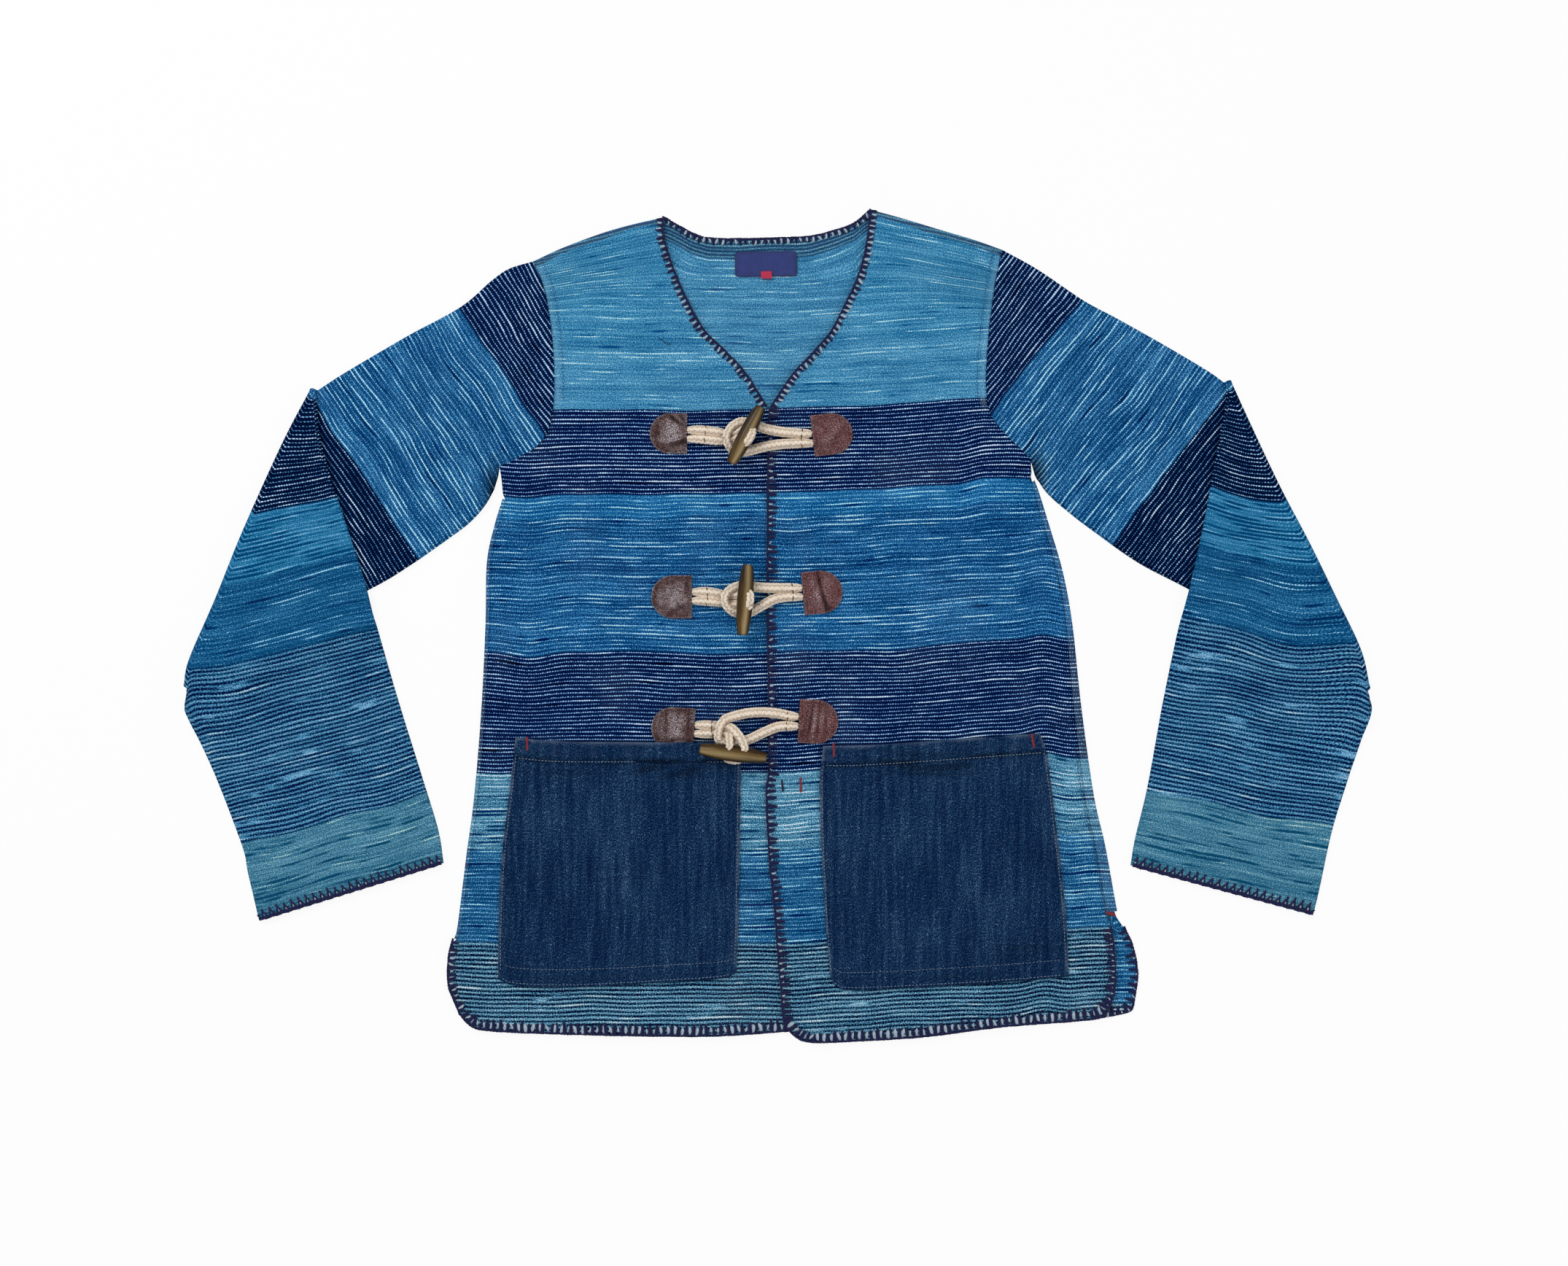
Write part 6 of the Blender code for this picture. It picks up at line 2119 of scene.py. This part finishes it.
@dataclass
class Sewing:
    """All the stitches that show: blanket stitch on the body's edges, zig-zag on the cuffs, and seams."""

    edge_yarn: Yarn = Yarn("edge_yarn", "02062E", "141C58")
    pale_yarn: Yarn = Yarn("pale_yarn", "6E90AC", "D4E0E6")
    seam_thread: Yarn = Yarn("seam_thread", "1C3F74", "4F7BA8")
    denim_thread: Yarn = Yarn("denim_thread", "4A6486", "A4B8CE")
    red_thread: Yarn = Yarn("red_thread", "7E1A28", "B8404C")
    brown_thread: Yarn = Yarn("brown_thread", "4A3020", "7A5638")

    def front_top(self, side: Side) -> Height:
        """The top of a front's cloth at its welted edge, over plan points."""
        return lambda plan: front_height(side, plan) + 0.35 + CLOTH / 2

    def flat_top(self, height: float) -> Height:
        """A level top, over plan points."""
        return lambda plan: np.full(plan.shape[:-1], height)

    def build_edges(self) -> list[Piece]:
        """Builds the yarn along the body's edges and the cuffs.

        Returns:
            The pieces.
        """
        yarn, pale, zigzag = Patchwork(), Patchwork(), Patchwork()
        right, left = self.front_top(Side.RIGHT), self.front_top(Side.LEFT)
        back = self.flat_top(CLOTH)
        rows = (
            # line, cloth, inward, pitch, leg, base, fleck, tuft, depth
            (RIGHT.neckline, right, -1, 4.5, 5.8, 1.2, 0.95, 0.85, 2.6),
            (LEFT.neckline, left, 1, 4.3, 5.6, 1.2, 0.98, 0.95, 2.7),
            (LEFT.front_edge, left, 1, 5.1, 7.6, 1.45, 0.7, 0.7, 1.8),
            (LEFT.hem, left, -1, 5.6, 8.8, 1.4, 1.0, 1.25, 3.8),
            (LEFT.vent_front, left, -1, 4.4, 6.8, 1.35, 0.85, 0.5, 1.2),
            (RIGHT.hem, right, 1, 5.6, 8.8, 1.4, 1.0, 1.25, 3.8),
            (RIGHT.vent_front, right, 1, 5.0, 6.6, 1.3, 0.85, 0.9, 2.4),
            (BACK_NECK, back, -1, 5.0, 5.2, 1.2, 0.9, 0.85, 2.2),
            (LEFT.vent_back, back, -1, 6.0, 7.0, 1.3, 0.85, 0.5, 0.4),
            (BACK_HEM[:-4:-1], back, -1, 5.2, 7.0, 1.3, 0.85, 0.8, 1.2),
        )
        for seed, (line, *row) in enumerate(rows, 1):
            Blanket(spaced(line, 2.0), *row, seed).add(yarn, pale)
        top = self.flat_top(HIGH + CLOTH / 2 + 0.5)
        for line, inward, seed in ((RIGHT, -1, 11), (LEFT, 1, 12)):
            start, end = np.array([line.inner[-1], line.outer[-1]])
            inset = unit(end - start) * EDGE * 0.6
            cuff = start + inset + (end - start - 2 * inset) * np.linspace(0, 1, 60)[:, None]
            ZigZag(cuff, top, inward, seed).add(zigzag, pale)
        navy, white = dyed(self.edge_yarn), dyed(self.pale_yarn)
        return [
            yarn.make("edge_stitches", navy),
            pale.make("edge_flecks", white),
            zigzag.make("cuff_stitches", navy),
        ]

    def build_seams(self) -> list[Piece]:
        """Builds the small stitches: pocket hems and edges, armholes, bars, and the bars across the ropes.

        Returns:
            The pieces.
        """
        cloth, denim, red, brown, navy = (Patchwork() for _ in range(5))
        for number, pocket in enumerate((RIGHT_POCKET, LEFT_POCKET)):
            plan = pocket.plan()
            rise = (CLOTH + DENIM) / 2 + 0.5 + 0.45 + DENIM / 2

            def top(points: Array, pocket: Pocket = pocket, rise: float = rise) -> Array:
                """The top of this pocket's cloth over plan points."""
                return front_height(pocket.side, points) + relief(pocket.folds, points) + rise - 0.2

            running(denim, plan[8, 2:-2], top, 2.6, 0.34, 20 + number)
            for column in (1, -2):
                running(denim, plan[2:-4, column], top, 2.8, 0.3, 30 + number)
            running(denim, plan[-2, 3:-3], top, 2.8, 0.3, 40 + number)
            running(denim, plan[-8, 3:-3], top, 2.8, 0.22, 44 + number)
        for line, away in ((RIGHT, 7.0), (LEFT, -7.0)):
            hole = beside(spaced(line.armhole, 2.0), away)
            running(cloth, hole[hole[:, 1] > 178], self.front_top(line.side), 2.9, 0.3, 50)
        seam = beside(spaced(LEFT.seam, 2.0), -9.6)
        left, right = self.front_top(Side.LEFT), self.front_top(Side.RIGHT)
        running(cloth, seam[seam[:, 1] < -92], left, 2.7, 0.34, 52)
        on_pocket = DENIM + 0.5
        bars = (
            # thread, ends, cloth, rise, width
            (red, ((-197.6, -88.0), (-197.0, -98.5)), right, on_pocket, 1.7),
            (red, ((44.2, -92.6), (44.6, -103.5)), left, on_pocket, 1.7),
            (red, ((200.3, -85.5), (202.4, -96.0)), left, on_pocket, 1.7),
            (red, ((259.0, -226.4), (266.5, -228.2)), self.flat_top(6.2), 0.0, 3.0),
            (red, ((18.2, -120.0), (18.6, -131.5)), left, 0.0, 1.6),
            (navy, ((3.4, -122.0), (4.6, -131.0)), left, 0.0, 1.4),
        )
        for seed, (thread, *row) in enumerate(bars, 61):
            bar(thread, *row, seed)
        for x, first, second, height in (
            (-56.8, 153.4, 146.6, 7.9), (19.3, 150.9, 143.3, 9.8), (-55.4, 26.3, 19.3, 7.9),
            (12.0, 29.4, 22.6, 9.8), (-51.4, -78.8, -85.4, 7.9), (7.5, -71.1, -79.5, 9.9),
        ):
            self.across(brown, x, first, second, height)
        hair = even(((-94, 228), (-90.5, 224.5), (-87, 222.3), (-84, 222)), 13)
        tubes(navy, np.column_stack([hair, right(hair) + 0.25])[None], 0.22, sides=4)
        return [
            cloth.make("armhole_stitches", dyed(self.seam_thread)),
            denim.make("pocket_stitches", dyed(self.denim_thread)),
            red.make("bar_stitches", dyed(self.red_thread)),
            brown.make("rope_stitches", dyed(self.brown_thread)),
            navy.make("loose_threads", dyed(self.edge_yarn)),
        ]

    def across(self, cloth: Patchwork, x: float, first: float, second: float, height: float) -> None:
        """Adds a thread that passes over two ropes side by side: the higher of two arcs over them.

        Args:
            cloth: The mesh that takes it.
            x: Its place along the ropes.
            first: One rope's Y.
            second: The other's Y.
            height: The height of the ropes' middle.
        """
        y = np.linspace(first + 3.6, second - 3.6, 40)
        arcs = [np.sqrt(np.clip(3.75**2 - (y - middle) ** 2, 0, None)) for middle in (first, second)]
        z = height - 0.4 + np.maximum(*arcs)
        path = np.column_stack([x + 0.5 * np.sin(y / 3), y, np.maximum(z, height - 1.5)])
        tubes(cloth, path[None], 0.38, across=np.array([[1.0, 0.1, 0.0]]))


# ---------------- studio


@dataclass
class Studio:
    """A pale floor, soft lamps and a camera that looks straight down."""

    middle: tuple[float, float] = (5.2, -6.0)
    height: float = 1600.0
    width: float = 1238.4
    sensor: float = 36.0

    def build(self) -> None:
        """Builds the floor, the lamps, the world and the camera."""
        scene, white = bpy.context.scene, (1.0, 1.0, 1.0, 1.0)
        nodes = Nodes("pale_floor")
        lit = nodes.node("ShaderNodeBsdfDiffuse", {}, {"Color": (0.9, 0.9, 0.9, 1.0)})
        glow = nodes.node("ShaderNodeEmission", {}, {"Color": white, "Strength": 1.0})
        ray = nodes.node("ShaderNodeLightPath")
        seen = Value(nodes, ray.outputs["Is Camera Ray"]) + Value(nodes, ray.outputs["Is Glossy Ray"])
        shares = {0: seen.held() * 0.9, 1: lit.outputs[0], 2: glow.outputs[0]}
        both = nodes.node("ShaderNodeMixShader", {}, shares)
        nodes.tree.links.new(both.outputs[0], nodes.output.inputs["Surface"])
        mesh = bpy.data.meshes.new("floor")
        corners = [(x, y, -0.0001) for x, y in ((-4, -4), (4, -4), (4, 4), (-4, 4))]
        mesh.from_pydata(corners, [], [(0, 1, 2, 3)])
        mesh.materials.append(nodes.material)
        floor = bpy.data.objects.new("floor", mesh)
        scene.collection.objects.link(floor)

        scene.world = bpy.data.worlds.new("studio")
        scene.world.use_nodes = True
        tree = scene.world.node_tree
        both = tree.nodes.new("ShaderNodeMixShader")
        tree.links.new(tree.nodes.new("ShaderNodeLightPath").outputs["Is Camera Ray"], both.inputs[0])
        for number, strength in ((1, 0.55), (2, 1.0)):
            sky = tree.nodes.new("ShaderNodeBackground")
            sky.inputs["Color"].default_value, sky.inputs["Strength"].default_value = white, strength
            tree.links.new(sky.outputs[0], both.inputs[number])
        tree.links.new(both.outputs[0], tree.nodes["World Output"].inputs["Surface"])
        self.lamp("key", (-1.3, 1.5, 2.1), 1.4, 34.0)
        self.lamp("fill", (1.6, -0.9, 2.0), 1.6, 14.0)
        scene.view_settings.view_transform = "Standard"

        data = bpy.data.cameras.new("overhead")
        data.sensor_width = self.sensor
        data.lens = self.sensor * self.height / self.width
        data.clip_end = 20.0
        scene.camera = bpy.data.objects.new("overhead", data)
        scene.camera.location = (self.middle[0] * MM, self.middle[1] * MM, (self.height + HIGH) * MM)
        scene.collection.objects.link(scene.camera)

    def lamp(self, name: str, place: tuple[float, float, float], size: float, power: float) -> None:
        """Adds a square soft lamp that looks at the jacket's middle.

        Args:
            name: Its name.
            place: Where it stands, in metres.
            size: The length of its sides, in metres.
            power: Its power in watts.
        """
        data = bpy.data.lights.new(name, "AREA")
        data.size, data.energy = size, power
        lamp = bpy.data.objects.new(name, data)
        lamp.location = place
        x, y, z = place
        lamp.rotation_euler = (math.atan2(math.hypot(x, y), z), 0, math.atan2(-y, -x) - math.pi / 2)
        bpy.context.scene.collection.objects.link(lamp)


# ---------------- the jacket


@dataclass(frozen=True)
class Cut:
    """The flat cut that a cloth piece is made from: width and length, and its area in square metres."""

    width: float
    length: float
    area: float
    rests: tuple[str, ...] = ()


class Jacket:
    """The whole jacket: builds each piece, and ties it to the solid that it stands for."""

    def dress(self, made: Piece, slot: str, node: str = "") -> None:
        """Ties a piece to the root body, hides the solid that it replaces, and logs it with its finish's
        slot.

        Args:
            made: The piece.
            slot: Its finish's slot.
            node: The solid that it replaces, if any.
        """
        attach(made, "root")
        if node:
            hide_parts(node)
        LOG.info("%s: %d faces, %s", made.name, len(made.data.polygons), slot)

    def build(self) -> None:
        """Builds every piece in the order it is sewn."""
        self.dress(BackPanel().build(), "indigo_cloth", "back_panel")
        for line, sleeve, pocket in ((RIGHT, RIGHT_SLEEVE, RIGHT_POCKET), (LEFT, LEFT_SLEEVE, LEFT_POCKET)):
            side = line.side.value
            self.dress(FrontPanel(line).build(), "indigo_cloth", "front_" + side)
            self.dress(sleeve.build(), "indigo_cloth", "sleeve_" + side)
            self.dress(pocket.build(), "denim", "pocket_" + side)
        for label in LABELS:
            self.dress(label.build(), label.slot, label.replaced)
        for patch in PATCHES:
            self.dress(patch.build(), "leather", patch.name)
        cream = dyed(Yarn("rope_cotton", "E8D0B4", "FFF6EA", fibres=1500.0, rough=0.9, depth=0.0004))
        horn = dyed(Horn())
        for toggle, strands, loop in zip(TOGGLES, STRANDS, LOOPS):
            route = toggle.route(*strands)
            for name, line in (("toggle_cord", route), ("loop_cord", np.asarray(loop, float))):
                name = f"{name}_{toggle.number}"
                self.dress(Rope(name, line).build(cream), "rope", name)
            self.dress(toggle.build(horn), "wood", f"toggle_{toggle.number}")
        sewing = Sewing()
        for made in sewing.build_edges() + sewing.build_seams():
            self.dress(made, "indigo_cloth")


def main() -> None:
    """Loads the frame, builds the studio and the jacket."""
    logging.basicConfig(level=logging.INFO, format="%(message)s")
    for item in list(bpy.data.objects):
        bpy.data.objects.remove(item, do_unlink=True)
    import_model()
    Studio().build()
    Jacket().build()


if __name__ == "__main__":
    main()
